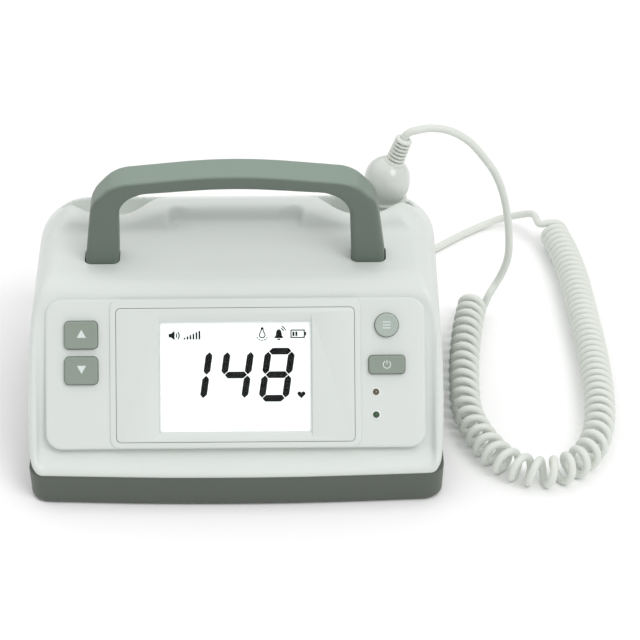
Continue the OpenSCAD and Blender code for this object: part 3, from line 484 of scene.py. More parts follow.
def wrap(distance, low, high, cell, passes=3):
    """Points and square faces of the surface where distance is zero."""
    axes = [np.arange(low[k], high[k] + cell, cell) for k in range(3)]
    x, y, z = axes[0][:, None, None], axes[1][None, :, None], axes[2][None, None, :]
    field = np.array(np.broadcast_to(distance(x, y, z), [len(v) for v in axes]))
    solid = field < 0
    cells = tuple(n - 1 for n in field.shape)
    filled = sum(solid[i:i + cells[0], j:j + cells[1], k:k + cells[2]].astype(np.int8)
                 for i, j, k in CELL_CORNERS)
    where = np.argwhere((filled > 0) & (filled < 8))
    number = np.full(cells, -1)
    number[tuple(where.T)] = np.arange(len(where))
    total, hits = np.zeros((len(where), 3)), np.zeros(len(where))
    values = [field[tuple((where + c).T)] for c in CELL_CORNERS]
    for a, b in CELL_EDGES:
        cut = (values[a] < 0) != (values[b] < 0)
        t = values[a][cut] / (values[a][cut] - values[b][cut])
        total[cut] += CELL_CORNERS[a] + t[:, None] * (CELL_CORNERS[b] - CELL_CORNERS[a])
        hits[cut] += 1
    points = np.array([v[0] for v in axes]) + (where + total / hits[:, None]) * cell
    faces = []
    for axis in range(3):
        b, c = (axis + 1) % 3, (axis + 2) % 3
        here = [slice(None)] * 3
        here[axis] = slice(0, -1)
        there = list(here)
        there[axis] = slice(1, None)
        first, second = solid[tuple(here)], solid[tuple(there)]
        edges = np.argwhere(first != second)
        inner = ((edges[:, b] > 0) & (edges[:, b] < field.shape[b] - 1)
                 & (edges[:, c] > 0) & (edges[:, c] < field.shape[c] - 1))
        edges = edges[inner]
        outward = first[tuple(edges.T)]
        ring = []
        for db, dc in ((-1, -1), (0, -1), (0, 0), (-1, 0)):
            at = edges.copy()
            at[:, b] += db
            at[:, c] += dc
            ring.append(number[tuple(at.T)])
        ring = np.stack(ring, axis=1)
        ring[~outward] = ring[~outward][:, ::-1]
        faces.append(ring)
    tiny = 0.02
    for _ in range(passes):
        value = distance(*points.T)
        slope = np.stack([(distance(*(points + d).T) - distance(*(points - d).T)) / (2 * tiny)
                          for d in np.eye(3) * tiny], axis=1)
        size = np.maximum((slope ** 2).sum(axis=1), 0.25)
        move = np.clip(value / size, -cell / 3, cell / 3)
        points = points - move[:, None] * slope
    return points, np.vstack(faces)


def wrapped(name, distance, low, high, cell):
    points, faces = wrap(distance, low, high, cell)
    thing = make_object(name, points, faces.tolist())
    print(name, "wrapped:", triangles(thing), "triangles")
    return thing


# %% [markdown]
# ## Upper casing
# The outline seen from the side gives the chin, the sloping front, the brow and the deck.
# The outline seen from the front gives the bulging sides, and the plan gives the rounded
# corners. The riser, the dips in front of the cups, the cups and the recess follow.

# %% Upper casing outlines
SLOPE_DIR = np.array([math.cos(SLOPE), math.sin(SLOPE)])
CHEEK = np.array([FRONT_Y + 10.2, SEAM_Z + 8.3])
BROW_Y = CHEEK[0] + (DECK_Z - CHEEK[1]) / math.tan(SLOPE)
PANEL_MID = CHEEK + SLOPE_DIR * (4.9 + PANEL_L / 2)
DISH_ANGLE = math.atan((DISH_D - DISH_TOP) / PANEL_L)
BOTTOM = SEAM_Z - 12

front_outline = rounded(
    [[FRONT_Y - 20, BOTTOM], [BACK_Y + 60, BOTTOM], [BACK_Y + 60, DECK_Z],
     [BROW_Y, DECK_Z], CHEEK, [FRONT_Y - 20, SEAM_Z - 4.6]],
    [0, 0, 0, BROW_R, 8, 0])
back_outline = rounded(
    [[FRONT_Y - 60, BOTTOM], [BACK_Y - BACK_IN, BOTTOM], [BACK_Y - BACK_IN, RIDGE_Z - 34],
     [RISE_Y + 10, RIDGE_Z], [FRONT_Y - 60, RIDGE_Z]], [0, 0, 12, 9, 0])
ridge_outline = rounded(
    [[RISE_Y - 20, DECK_Z - 16.2], [BACK_Y + 60, DECK_Z - 16.2], [BACK_Y + 60, RIDGE_Z + 0.4],
     [RISE_Y + 0.3, RIDGE_Z + 0.4]], [0, 0, 0, 4])
side_top = BODY_W / 2 - TOP_IN - (40 / (RIDGE_Z - SEAM_Z - 58)) * (TOP_IN - 0.4)
side_outline = rounded(
    [[-BODY_W / 2 + SIDE_IN, BOTTOM], [BODY_W / 2 - SIDE_IN, BOTTOM],
     [BODY_W / 2, SEAM_Z + 30], [BODY_W / 2 - 0.4, SEAM_Z + 58], [side_top, RIDGE_Z + 40],
     [-side_top, RIDGE_Z + 40], [-BODY_W / 2 + 0.4, SEAM_Z + 58], [-BODY_W / 2, SEAM_Z + 30]],
    [0, 0, 60, 180, 0, 0, 180, 60])
plan_outline = rounded(
    [[0, FRONT_Y + SEAM_IN], [BODY_W / 2, FRONT_Y + SEAM_IN + 4.9], [BODY_W / 2 - 2, BACK_Y],
     [-BODY_W / 2 + 2, BACK_Y], [-BODY_W / 2, FRONT_Y + SEAM_IN + 4.9]], [1500, 6, 38, 38, 6])
dish_low = -DISH_TOP - PANEL_L * math.tan(DISH_ANGLE)
dish_outline = rounded(
    [[PANEL_L / 2 + 30, -DISH_TOP + 30 * math.tan(DISH_ANGLE)], [PANEL_L / 2 + 30, 60],
     [-PANEL_L - 30, 60], [-PANEL_L - 30, dish_low + 9 + 22], [-PANEL_L / 2 - 19, dish_low + 9],
     [-PANEL_L / 2, dish_low]], [0, 0, 0, 0, 6, 3])
read_front, read_back = outline_table(front_outline), outline_table(back_outline)
read_ridge, read_side = outline_table(ridge_outline), outline_table(side_outline)
read_plan, read_dish = outline_table(plan_outline), outline_table(dish_outline)
print("brow at", round(BROW_Y, 1), "riser at", round(RISE_Y, 1))

# %% Upper casing distance
SADDLE_HALF = CUP_X - CUP_D / 2 - 5
SADDLE_Y, SADDLE_L = RISE_Y + 3, 120.0
SADDLE_FLARE = 0.25
CRISP_EDGE, ROUND_EDGE, EDGE_CHANGE = 2.0, 8.0, 8.0
SCOOP_R, SCOOP_DEPTH = 60.0, 6.0


def slope_frame(y, z):
    """Place up the slope and height out of it, in the panel's own frame."""
    c, s = math.cos(SLOPE), math.sin(SLOPE)
    return ((y - PANEL_MID[0]) * c + (z - PANEL_MID[1]) * s,
            -(y - PANEL_MID[0]) * s + (z - PANEL_MID[1]) * c)


def casing_body(x, y, z):
    """The casing without its underside, so that it also gives the inner wall."""
    width = 2 * SADDLE_HALF + SADDLE_FLARE * (z - DECK_Z)
    saddle = rect_distance(x, y - (SADDLE_Y - SADDLE_L / 2), width, SADDLE_L, 4)
    # The riser's upper edge is round in the middle and crisp at the saddle's two ends.
    roundness = np.clip((SADDLE_HALF - 5 - abs(x)) / EDGE_CHANGE, 0, 1)
    edge = CRISP_EDGE + (ROUND_EDGE - CRISP_EDGE) * roundness
    top = either(without(read_ridge(y, z), saddle, edge), read_front(y, z), 3)
    hull = both(read_back(y, z), read_side(x, z), TOP_R)
    body = both(both(top, hull, 4), read_plan(x, y), 4)
    for side in (-1, 1):
        scoop = np.hypot(x - side * CUP_X, z - (RIDGE_Z - SCOOP_DEPTH + SCOOP_R)) - SCOOP_R
        body = without(body, scoop, 4)
    for side in (-1, 1):
        cup = both(np.hypot(x - side * CUP_X, y - CUP_Y) - CUP_D / 2, CUP_FLOOR - z, 2.5)
        body = without(body, cup, 1.8)
    v, w = slope_frame(y, z)
    recess = both(read_dish(v, w), rect_distance(x, v + 10, DISH_W, PANEL_L + 22, 16), 2.5)
    return without(body, recess, 2.2)


def casing_outside(x, y, z):
    return both(casing_body(x, y, z), SEAM_Z - 3 - z + 0 * x, 0.2)


middle = [np.array(v) for v in (0.0, 0.0, 60.0)]
print("distance at the middle:", round(float(casing_body(*middle)), 1))

# %% [markdown]
# The outside is wrapped finely and the inner wall coarsely, because the inside is only
# seen through slots. Then the openings are cut: the window under the panel, the handle's
# sockets, the holes for the sockets on the rear wall and the speaker's slots.

# %% Upper casing mesh
CASING_CELL = 1.5
INNER_CELL = 3.5
LEG_W, FOOT_D, HANDLE_W, HANDLE_H, GRIP_D = 19.0, 16.0, 165.0, 57.0, 20.5
LEG_X = HANDLE_W / 2 - LEG_W / 2
HANDLE_FRONT = BROW_Y + 16.6
SOCKET_DEPTH = 6.0
DC_X, EAR_X = 12.0, 32.0
SPEAKER_X, SPEAKER_R = -45.0, 24.0
SPEAKER_Z = SEAM_Z + SPEAKER_R + 4
REAR_HOLES = ((PLUG_X, 8.0), (DC_X, 4.6), (EAR_X, 3.6))
SLOT_STEP, SLOT_W = 5.4, 2.2


def on_slope(u=0.0, v=0.0, w=0.0):
    """Matrix from the panel's frame, at a point of it, to the part's."""
    return (Matrix.Translation((0, PANEL_MID[0], PANEL_MID[1])) @ Matrix.Rotation(SLOPE, 4, "X")
            @ Matrix.Translation((u, v, w)))


def rect_loop(w, l, r, arc=6):
    """Corner points of a rounded rectangle, counter-clockwise."""
    r = max(min(r, w / 2, l / 2), 0.01)
    out = []
    for k, (sx, sy) in enumerate(((1, 1), (-1, 1), (-1, -1), (1, -1))):
        for j in range(arc + 1):
            a = math.pi / 2 * (k + j / arc)
            out.append((sx * (w / 2 - r) + r * math.cos(a), sy * (l / 2 - r) + r * math.sin(a)))
    return np.array(out)


def loft(name, loops, at=None):
    """A closed skin over loops of equal length, from the lowest to the highest."""
    return make_object(name, np.vstack(loops), skin_faces(len(loops), len(loops[0])), at)


def plate(name, w, l, r, levels, at=None, arc=6):
    """A rounded plate whose levels are pairs of height and how far its edge draws in."""
    loops = [raised(rect_loop(w - 2 * inset, l - 2 * inset, max(r - inset, 0.2), arc), z)
             for z, inset in levels]
    return loft(name, loops, at)


def disc(name, r, z0, z1, at=None, sides=48):
    return loft(name, [raised(circle(r, sides), z) for z in (z0, z1)], at)


def through_rear(x, z):
    return Matrix.Translation((x, BACK_Y, z)) @ Matrix.Rotation(math.pi / 2, 4, "X")


def casing_cutters():
    yield plate("window", PANEL_W - 11, PANEL_L - 11, 5, [(-30, 0), (10, 0)], on_slope())
    for side in (-1, 1):
        floor = (side * (LEG_X - 0.25), HANDLE_FRONT + FOOT_D / 2, DECK_Z - SOCKET_DEPTH)
        yield plate("socket", LEG_W + 0.1, FOOT_D + 0.1, 4, [(0, 0), (30, 0)],
                    Matrix.Translation(floor))
    for x, r in REAR_HOLES:
        yield disc("rear_hole", r, -12, 12, through_rear(x, SOCKET_Z))
    for k in range(-3, 4):
        half = math.sqrt((SPEAKER_R - 4) ** 2 - (SLOT_STEP * k) ** 2)
        yield plate("slot", 2 * half, SLOT_W, SLOT_W / 2 - 0.05, [(-12, 0), (12, 0)],
                    through_rear(SPEAKER_X, SPEAKER_Z + SLOT_STEP * k))


def make_casing():
    x, y, top = BODY_W / 2 + 4, BODY_D / 2 + 4, RIDGE_Z + 4
    shell = wrapped("upper_casing", casing_outside, [-x, -y, SEAM_Z - 6], [x, y, top], CASING_CELL)
    inner = wrapped("inner_wall", lambda *at: casing_body(*at) + WALL,
                    [-x, -y, BOTTOM - 4], [x, y, top], INNER_CELL)
    combine(shell, inner)
    combine(shell, plate("below_seam", 2 * BODY_W, 2 * BODY_D, 1,
                         [(SEAM_Z - 40, 0), (SEAM_Z, 0)]))
    for cutter in casing_cutters():
        combine(shell, cutter)
    return shade(shell, 38)


casing = make_casing()
print("upper casing:", triangles(casing), "triangles")

# %% [markdown]
# ## Lower casing
# The grey green tray is a plain form, so it is lofted: the same plan outline drawn in
# round the bottom edge and a little narrower at the foot than at the seam. The battery
# opening, the screw holes and the seats of the feet are cut into its underside.

# %% Lower casing
DOOR_W, DOOR_L = 0.307 * BODY_W + 12, 50.0
BATTERY_X, BATTERY_Y = -0.272 * BODY_W, FRONT_Y + 62
SCREW_X, SCREW_Y = BODY_W / 2 - 17, BODY_D / 2 - 22
SCREW_SPOTS = [(-SCREW_X, -SCREW_Y), (SCREW_X, -SCREW_Y),
               (-SCREW_X + 6, BACK_Y - 39), (SCREW_X - 6, BACK_Y - 39)]
FOOT_SPOTS = [(sx * (BODY_W / 2 - 34), sy * (BODY_D / 2 - 20))
              for sx in (-1, 1) for sy in (-1, 1)]
FRONT_BOW, FRONT_CORNER, REAR_CORNER = 5.5, 11.0, 38.0
TRAY_BEND, SEAM_BEVEL = 1.6, 0.35
FOOT_SPREAD, SEAM_SPREAD = 2.0, 1.1
DOOR_AT = Matrix.Translation((BATTERY_X, BATTERY_Y, FOOT_H))


def plan_loop(z, inset, spread):
    """The casing's plan at the height z, drawn in by inset, its sides by spread more."""
    w = BODY_W / 2 - inset - spread
    front, back = FRONT_Y + inset, BACK_Y - inset
    corner, rear = FRONT_CORNER - inset, REAR_CORNER - inset
    return raised(rounded([[0, front], [w, front + FRONT_BOW], [w - 2, back], [-w + 2, back],
                           [-w, front + FRONT_BOW]], [1500, corner, rear, rear, corner]), z)


def tray_loops(inset, floor, top):
    loops = []
    bend = max(TRAY_BEND - inset, 0.4)
    for a in math.pi / 2 * np.arange(9) / 8:
        rise = bend * (1 - math.cos(a))
        spread = FOOT_SPREAD - (FOOT_SPREAD - SEAM_SPREAD) * rise / TRAY_H
        loops.append(plan_loop(floor + rise, inset + bend * (1 - math.sin(a)), spread))
    for z in (SEAM_Z - 0.8, SEAM_Z - 0.25, top):
        trim = SEAM_BEVEL if z > SEAM_Z - 0.5 and inset == 0 else 0
        loops.append(plan_loop(z, inset + trim, SEAM_SPREAD))
    return loops


def make_tray():
    tray = loft("lower_casing", tray_loops(0, FOOT_H, SEAM_Z))
    combine(tray, loft("inside", tray_loops(WALL, FOOT_H + WALL, SEAM_Z + 5)))
    combine(tray, plate("door_opening", DOOR_W - 10, DOOR_L - 10, 1, [(-5, 0), (20, 0)], DOOR_AT))
    combine(tray, plate("door_step", DOOR_W, DOOR_L, 2, [(-5, 0), (1.2, 0)], DOOR_AT))
    screw_cuts = (("screw_hole", 3.4, FOOT_H + 1.2), ("screw_bore", 1.8, 20))
    foot_cuts = (("foot_seat", 8.3, FOOT_H + 1),)
    for spots, cuts in ((SCREW_SPOTS, screw_cuts), (FOOT_SPOTS, foot_cuts)):
        for x, y in spots:
            for name, r, top in cuts:
                combine(tray, disc(name, r, -1, top, Matrix.Translation((x, y, 0))))
    return shade(tray, 30)


tray = make_tray()
print("lower casing:", triangles(tray), "triangles")

# %% [markdown]
# ## Panel
# The panel is a separate moulding that stands in the recess like an island. Its middle
# stands a little higher than its two wings. Its lower edge follows the floor of the
# recess, which gets deeper towards the front.

# %% Panel
FRAME_W, FRAME_L, FRAME_V, FRAME_RISE = 129.0, 72.5, -0.9, 0.9
WINDOW_W, WINDOW_L, WINDOW_V = 83.5, 67.0, -1.3
LENS_TOP, LENS_T = -2.4, 1.0
ARROW_X, RIGHT_X = -83.4, 82.0
ARROW_W, ARROW_L = 18.0, 15.0
ROUND_D, POWER_W, POWER_L = 12.8, 19.5, 10.0
UP_V = PANEL_L / 2 - ARROW_L / 2 - 12
DOWN_V = UP_V - ARROW_L - 4.3
ROUND_V = PANEL_L / 2 - ROUND_D / 2 - 8.9
POWER_V = ROUND_V - ROUND_D / 2 - POWER_L / 2 - 10
LED_X, LED_D = RIGHT_X - 6, 3.0
LED_V = (POWER_V - 14.8, POWER_V - 27.1)
BUTTON_H, BUTTON_GAP = 2.6, 0.3


def edge_levels(top, radius, steps=5):
    """Heights and insets of a quarter round that ends in a flat top."""
    return [(top - radius + radius * math.sin(math.pi / 2 * k / steps),
             radius * (1 - math.cos(math.pi / 2 * k / steps))) for k in range(steps + 1)]


def follow_recess(thing, foot=-9.0):
    """The lowest corners of the island drop to the floor of the recess."""
    frame_back = on_slope().inverted() @ Matrix.Scale(1 / MM, 4)
    for vertex in thing.data.vertices:
        u, v, w = frame_back @ vertex.co
        if w < foot + 0.5:
            floor = -DISH_TOP - (PANEL_L / 2 - v) * math.tan(DISH_ANGLE) - 0.3
            vertex.co = (on_slope(u, v, floor) @ Vector((0, 0, 0))) * MM
    return thing


def make_panel():
    panel = plate("control_panel_cover", PANEL_W, PANEL_L, PANEL_R,
                  [(-9, 0)] + edge_levels(0, 1.4), on_slope(), 10)
    follow_recess(panel)
    middle = plate("middle", FRAME_W + 7, PANEL_L - 0.8, 5,
                   [(-5, 0.4), (-1.2, 0.4)] + edge_levels(FRAME_RISE, 0.7, 4), on_slope(), 8)
    combine(panel, middle, "UNION")
    hollow = plate("hollow", PANEL_W - 5, PANEL_L - 5, PANEL_R - 2.5,
                   [(-20, 0), (-PANEL_T, 0)], on_slope(), 8)
    combine(panel, hollow)
    seat = plate("frame_seat", FRAME_W + 0.5, FRAME_L + 0.5, 2.7,
                 [(FRAME_RISE - 1.6, 0), (10, 0)], on_slope(0, FRAME_V))
    combine(panel, seat)
    combine(panel, plate("frame_hole", WINDOW_W + 12, WINDOW_L - 4, 2,
                         [(-10, 0), (10, 0)], on_slope(0, WINDOW_V)))
    gap = 2 * BUTTON_GAP
    for u, v, w, l, r in ((ARROW_X, UP_V, ARROW_W, ARROW_L, 2.5),
                          (ARROW_X, DOWN_V, ARROW_W, ARROW_L, 2.5),
                          (RIGHT_X, POWER_V, POWER_W, POWER_L, 2)):
        combine(panel, plate("key_hole", w + gap, l + gap, r + BUTTON_GAP,
                             [(-10, 0), (10, 0)], on_slope(u, v)))
    combine(panel, disc("key_hole", ROUND_D / 2 + BUTTON_GAP, -10, 10,
                        on_slope(RIGHT_X, ROUND_V)))
    for v in LED_V:
        combine(panel, disc("lamp_hole", LED_D / 2 + 0.15, -10, 10, on_slope(LED_X, v), 32))
    return shade(panel, 30)


panel = make_panel()
print("panel:", triangles(panel), "triangles")

# %% [markdown]
# ## Display
# A thin frame is let into the panel's middle. The walls of its opening slope down to the
# clear window, so the opening looks bevelled above and below. Under the window is the
# white liquid crystal panel, and its dark signs are thin plates on it.

# %% Display frame


def make_frame():
    surround = plate("display_surround", FRAME_W, FRAME_L, 2.5,
                     [(FRAME_RISE - 1.6, 0)] + edge_levels(FRAME_RISE, 0.25, 2),
                     on_slope(0, FRAME_V))
    rim = plate("rim", WINDOW_W + 11.6, WINDOW_L - 4.4, 2, [(LENS_TOP, 0), (0, 0)],
                on_slope(0, WINDOW_V))
    combine(surround, rim, "UNION")
    top, low = FRAME_RISE, LENS_TOP + 1.7
    flare = []
    for w, above, below, side in ((-5, 4.4, 3.2, 0.9), (low, 4.4, 3.2, 0.9),
                                  (top, 0, 0, 0), (5, 0, 0, 0)):
        loop = rect_loop(WINDOW_W - 2 * side, WINDOW_L - above - below, 0.6, 3)
        flare.append(raised(loop + [0, (below - above) / 2], w))
    combine(surround, loft("opening", flare, on_slope(0, WINDOW_V)))
    combine(surround, plate("window_seat", WINDOW_W + 6, WINDOW_L - 6, 1,
                            [(LENS_TOP - 1, 0), (LENS_TOP + 0.8, 0)], on_slope(0, WINDOW_V)))
    return shade(round_edges(surround, 0.12, 2), 30)


surround = make_frame()
window = plate("display_window", WINDOW_W + 5.6, WINDOW_L - 6.4, 1,
               [(LENS_TOP + 0.8 - LENS_T, 0), (LENS_TOP + 0.75, 0), (LENS_TOP + 0.8, 0.05)],
               on_slope(0, WINDOW_V))
print("display frame:", triangles(surround), "triangles")

# %% [markdown]
# The signs are drawn as flat outlines in millimetres on the display and given a thickness
# of a few hundredths. They say a heart rate in slanted seven-bar figures, and in a row
# above it a loudspeaker, its level, a lamp, a bell and a battery. A heart marks the unit.

# %% Signs


def bar(x0, y0, x1, y1, half, point=0.9):
    """A bar with pointed ends between two places, as in seven-bar figures."""
    a, b = np.array([x0, y0]), np.array([x1, y1])
    run = (b - a) / np.linalg.norm(b - a)
    side = np.array([-run[1], run[0]]) * half
    cut = run * half * point
    return [a, a + cut - side, b - cut - side, b, b - cut + side, a + cut + side]


def arc_band(x, y, r, half, start, end, steps=12):
    """A bent band round a middle, angles in degrees."""
    angles = np.radians(np.linspace(start, end, steps + 1))
    ring = np.column_stack([np.cos(angles), np.sin(angles)])
    return list([x, y] + ring * (r + half)) + list([x, y] + ring[::-1] * (r - half))


def box_outline(x0, y0, x1, y1):
    return [(x0, y0), (x1, y0), (x1, y1), (x0, y1)]


def signs(name, outlines, base, thick, at):
    """One mesh of thin plates from closed outlines."""
    points, faces = [], []
    for outline in outlines:
        flat = np.array(outline, float)
        after = np.roll(flat, -1, axis=0)
        if np.sum(flat[:, 0] * after[:, 1] - flat[:, 1] * after[:, 0]) < 0:
            flat = flat[::-1]
        n, first = len(flat), len(points)
        points += [(x, y, base) for x, y in flat] + [(x, y, base + thick) for x, y in flat]
        faces.append(tuple(first + k for k in reversed(range(n))))
        faces.append(tuple(first + n + k for k in range(n)))
        faces += [(first + k, first + (k + 1) % n, first + n + (k + 1) % n, first + n + k)
                  for k in range(n)]
    return make_object(name, points, faces, at)


def slanted(outline, x, y, lean=0.148):
    """Moves a figure to its place and leans it to the right."""
    return [(x + px + lean * py, y + py) for px, py in outline]


FIGURE_W, FIGURE_H, BAR = 6.35, 12.75, 1.82
FIGURE_BARS = {"a": (-1, 1, 1, 1), "b": (1, 1, 1, 0), "c": (1, 0, 1, -1), "d": (-1, -1, 1, -1),
               "e": (-1, 0, -1, -1), "f": (-1, 1, -1, 0), "g": (-1, 0, 1, 0)}
FIGURES = {"1": "bc", "4": "bcfg", "8": "abcdefg"}


def figure(sign, x, y):
    out = []
    for key in FIGURES[sign]:
        x0, y0, x1, y1 = FIGURE_BARS[key]
        a = np.array([x0 * FIGURE_W, y0 * FIGURE_H])
        b = np.array([x1 * FIGURE_W, y1 * FIGURE_H])
        run = (b - a) / np.linalg.norm(b - a) * 0.28
        out.append(slanted(bar(*(a + run), *(b - run), BAR, 1.0), x, y))
    return out


def loudspeaker(x, y):
    cone = [(x - 2.5, y - 1), (x - 1.2, y - 1), (x + 0.7, y - 2.6), (x + 0.7, y + 2.6),
            (x - 1.2, y + 1), (x - 2.5, y + 1)]
    return [cone] + [arc_band(x + 0.3, y, r, 0.33, -42, 42, 8) for r in (1.6, 2.9)]


def level_bars(x, y):
    return [box_outline(x + 1.62 * k, y, x + 1.62 * k + 0.95, y + 1.0 + 0.74 * k)
            for k in range(6)]


def lamp(x, y):
    bulb = arc_band(x, y - 0.6, 1.55, 0.3, -232, 52, 20)
    neck = [bar(x - 0.95, y + 0.62, x - 0.45, y + 2.3, 0.3, 0.2),
            bar(x + 0.95, y + 0.62, x + 0.45, y + 2.3, 0.3, 0.2)]
    cap = [box_outline(x - 0.75, y + 2.25, x + 0.75, y + 3.5)]
    glow = [arc_band(x, y - 0.6, 3.0, 0.24, a, a + 22, 4) for a in (-162, -132, -102, -72, -42)]
    return [bulb] + neck + cap + glow


def bell(x, y):
    half = [(0.0, 2.6), (0.55, 2.5), (1.15, 1.9), (1.45, 0.9), (1.6, -0.7), (2.4, -1.7),
            (2.4, -2.2)]
    body = [(x + px, y + py) for px, py in half] + [(x - px, y + py) for px, py in half[::-1]]
    clapper = arc_band(x, y - 2.5, 0.45, 0.44, 180, 360, 8)
    waves = [arc_band(x + 0.6, y + 1.0, r, 0.3, 16, 74, 6) for r in (2.1, 3.3)]
    return [body, clapper] + waves


def battery(x, y, w=7.8, h=4.6, line=0.62):
    left, right, top, low = x - w / 2, x + w / 2, y + h / 2, y - h / 2
    case = [box_outline(left, low, right, low + line), box_outline(left, top - line, right, top),
            box_outline(left, low + line, left + line, top - line),
            box_outline(right - line, low + line, right, top - line),
            box_outline(right, y - 1, right + 0.8, y + 1)]
    cells = [box_outline(left + 1.1 + 1.6 * k, low + 1.1, left + 2.2 + 1.6 * k, top - 1.1)
             for k in range(2)]
    return case + cells


def heart(x, y, size):
    angles = np.linspace(0, 2 * math.pi, 37)[:-1]
    px = 16 * np.sin(angles) ** 3
    py = 13 * np.cos(angles) - 5 * np.cos(2 * angles) - 2 * np.cos(3 * angles) - np.cos(4 * angles)
    return [list(zip(x + px * size / 32, y + py * size / 32))]


SIGN_BASE = LENS_TOP + 0.8 - LENS_T - 0.1
DIGITS_V = -1.0
outlines = []
for sign, u in (("1", -22.2), ("4", 0.2), ("8", 22.4)):
    outlines += figure(sign, u, DIGITS_V)
outlines += loudspeaker(-33.6, 20.6) + level_bars(-28.0, 18.4) + lamp(14.6, 21.2)
outlines += bell(23.6, 21.0) + battery(33.8, 21.1) + heart(35.6, -11.8, 4.4)
display_signs = signs("display_signs", outlines, SIGN_BASE, 0.05, on_slope())
print("signs:", len(outlines), "outlines")

# %% [markdown]
# ## Keys
# Each key is a hard cap with a soft edge and a slightly hollow top for the finger. The
# pale signs on them are printed, so they are a few hundredths of a millimetre thick.
# Under each cap are the flange that holds it behind the panel and the stem of the switch.

# %% Keys
FLANGE_T, FLANGE_OUT, STEM_END = 1.0, 1.4, -7.9
FLANGE_LOW = -PANEL_T - 0.1 - FLANGE_T


def cap_levels(top, radius, dip):
    levels = edge_levels(top, radius, 5)
    return levels + [(top - dip * 0.35, radius + 0.9), (top - dip, radius + 2.4)]


def flange_and_stem(cap, flange, at):
    combine(cap, flange, "UNION")
    return combine(cap, disc("stem", 2.0, STEM_END, -PANEL_T, at, 32), "UNION")


def box_key(name, u, v, w, l, r):
    at = on_slope(u, v)
    cap = plate(name, w, l, r, [(FLANGE_LOW, 0)] + cap_levels(BUTTON_H, 0.75, 0.22), at, 8)
    flange = plate("flange", w + 2 * FLANGE_OUT, l + 2 * FLANGE_OUT, r,
                   [(FLANGE_LOW, 0), (FLANGE_LOW + FLANGE_T, 0)], at)
    return shade(flange_and_stem(cap, flange, at), 45)


def round_key(name, u, v, d):
    at = on_slope(u, v)
    cap = loft(name, [raised(circle(d / 2 - inset, 64), z)
                      for z, inset in [(FLANGE_LOW, 0)] + cap_levels(BUTTON_H, 0.75, 0.25)], at)
    flange = disc("flange", d / 2 + FLANGE_OUT, FLANGE_LOW, FLANGE_LOW + FLANGE_T, at)
    return shade(flange_and_stem(cap, flange, at), 45)


keys = {
    "up": box_key("up_key_cap", ARROW_X, UP_V, ARROW_W, ARROW_L, 2.5),
    "down": box_key("down_key_cap", ARROW_X, DOWN_V, ARROW_W, ARROW_L, 2.5),
    "power": box_key("power_key_cap", RIGHT_X, POWER_V, POWER_W, POWER_L, 2),
    "mode": round_key("mode_key_cap", RIGHT_X, ROUND_V, ROUND_D),
}
print("keys:", {k: triangles(v) for k, v in keys.items()})

# %% Key signs
SIGN_Z = BUTTON_H - 0.24


def arrow(turn):
    return [[(-2.2, 0.6 - 2.1 * turn), (2.8, 0.6 - 2.1 * turn), (0.3, 0.6 + 2.3 * turn)]]


def power_sign(r=2.0):
    return [arc_band(0, 0, r, 0.24, 118, 422, 28), box_outline(-0.24, 0.1, 0.24, 2.5)]


def menu_sign():
    return [box_outline(-2.1, 1.6 * k - 0.3, 2.1, 1.6 * k + 0.3) for k in (-1, 0, 1)]


key_signs = {
    "up": signs("up_key_sign", arrow(1), SIGN_Z, 0.08, on_slope(ARROW_X, UP_V)),
    "down": signs("down_key_sign", arrow(-1), SIGN_Z, 0.08, on_slope(ARROW_X, DOWN_V)),
    "power": signs("power_key_sign", power_sign(), SIGN_Z, 0.08, on_slope(RIGHT_X, POWER_V)),
    "mode": signs("mode_key_sign", menu_sign(), SIGN_Z - 0.03, 0.09, on_slope(RIGHT_X, ROUND_V)),
}
print("key signs:", len(key_signs))

# %% [markdown]
# ## Handle
# The handle is an arch with rounded edges, wider from front to back at the grip than at
# the legs. It is a distance solid too, so its edges keep one radius along the whole arch.
# Each foot is drawn in a little where it goes down into its socket.

# %% Handle
GRIP_T = 10.0
HANDLE_LEAN, HANDLE_EDGE = 5.0, 3.0
HANDLE_TOP = DECK_Z + HANDLE_H
COLLAR_Z = DECK_Z + 1.3
half_w, foot_z = HANDLE_W / 2, DECK_Z - SOCKET_DEPTH
handle_outline = rounded(
    [[-half_w, foot_z], [-half_w + LEG_W, foot_z], [-half_w + LEG_W + 1, HANDLE_TOP - 19],
     [-half_w + LEG_W + 14, HANDLE_TOP - GRIP_T - 3.6], [0, HANDLE_TOP - GRIP_T],
     [half_w - LEG_W - 14, HANDLE_TOP - GRIP_T - 3.6], [half_w - LEG_W - 1, HANDLE_TOP - 19],
     [half_w - LEG_W, foot_z], [half_w, foot_z], [half_w - HANDLE_LEAN, HANDLE_TOP - 20],
     [half_w - 18.5, HANDLE_TOP - 6.5], [0, HANDLE_TOP], [-half_w + 18.5, HANDLE_TOP - 6.5],
     [-half_w + HANDLE_LEAN, HANDLE_TOP - 20]],
    [1, 1, 14, 14, 300, 14, 14, 1, 1, 18, 20, 300, 20, 18])
handle_side = rounded(
    [[0, foot_z], [FOOT_D, foot_z], [FOOT_D, DECK_Z + 22], [GRIP_D, HANDLE_TOP - 14],
     [GRIP_D, HANDLE_TOP + 10], [0, HANDLE_TOP + 10]], [0, 0, 30, 30, 0, 0])
read_handle, read_depth = outline_table(handle_outline), outline_table(handle_side)


def handle_distance(x, y, z):
    arch = both(read_handle(x, z), read_depth(y - HANDLE_FRONT, z), HANDLE_EDGE)
    above = both(arch, COLLAR_Z - z + 0 * x, 0.5)
    return np.minimum(above, np.maximum(arch + 0.25, z - COLLAR_Z - 1))


handle = shade(wrapped("carry_handle", handle_distance,
                       [-half_w - 3, HANDLE_FRONT - 3, foot_z - 3],
                       [half_w + 3, HANDLE_FRONT + GRIP_D + 3, HANDLE_TOP + 3],
                       1.1), 50)

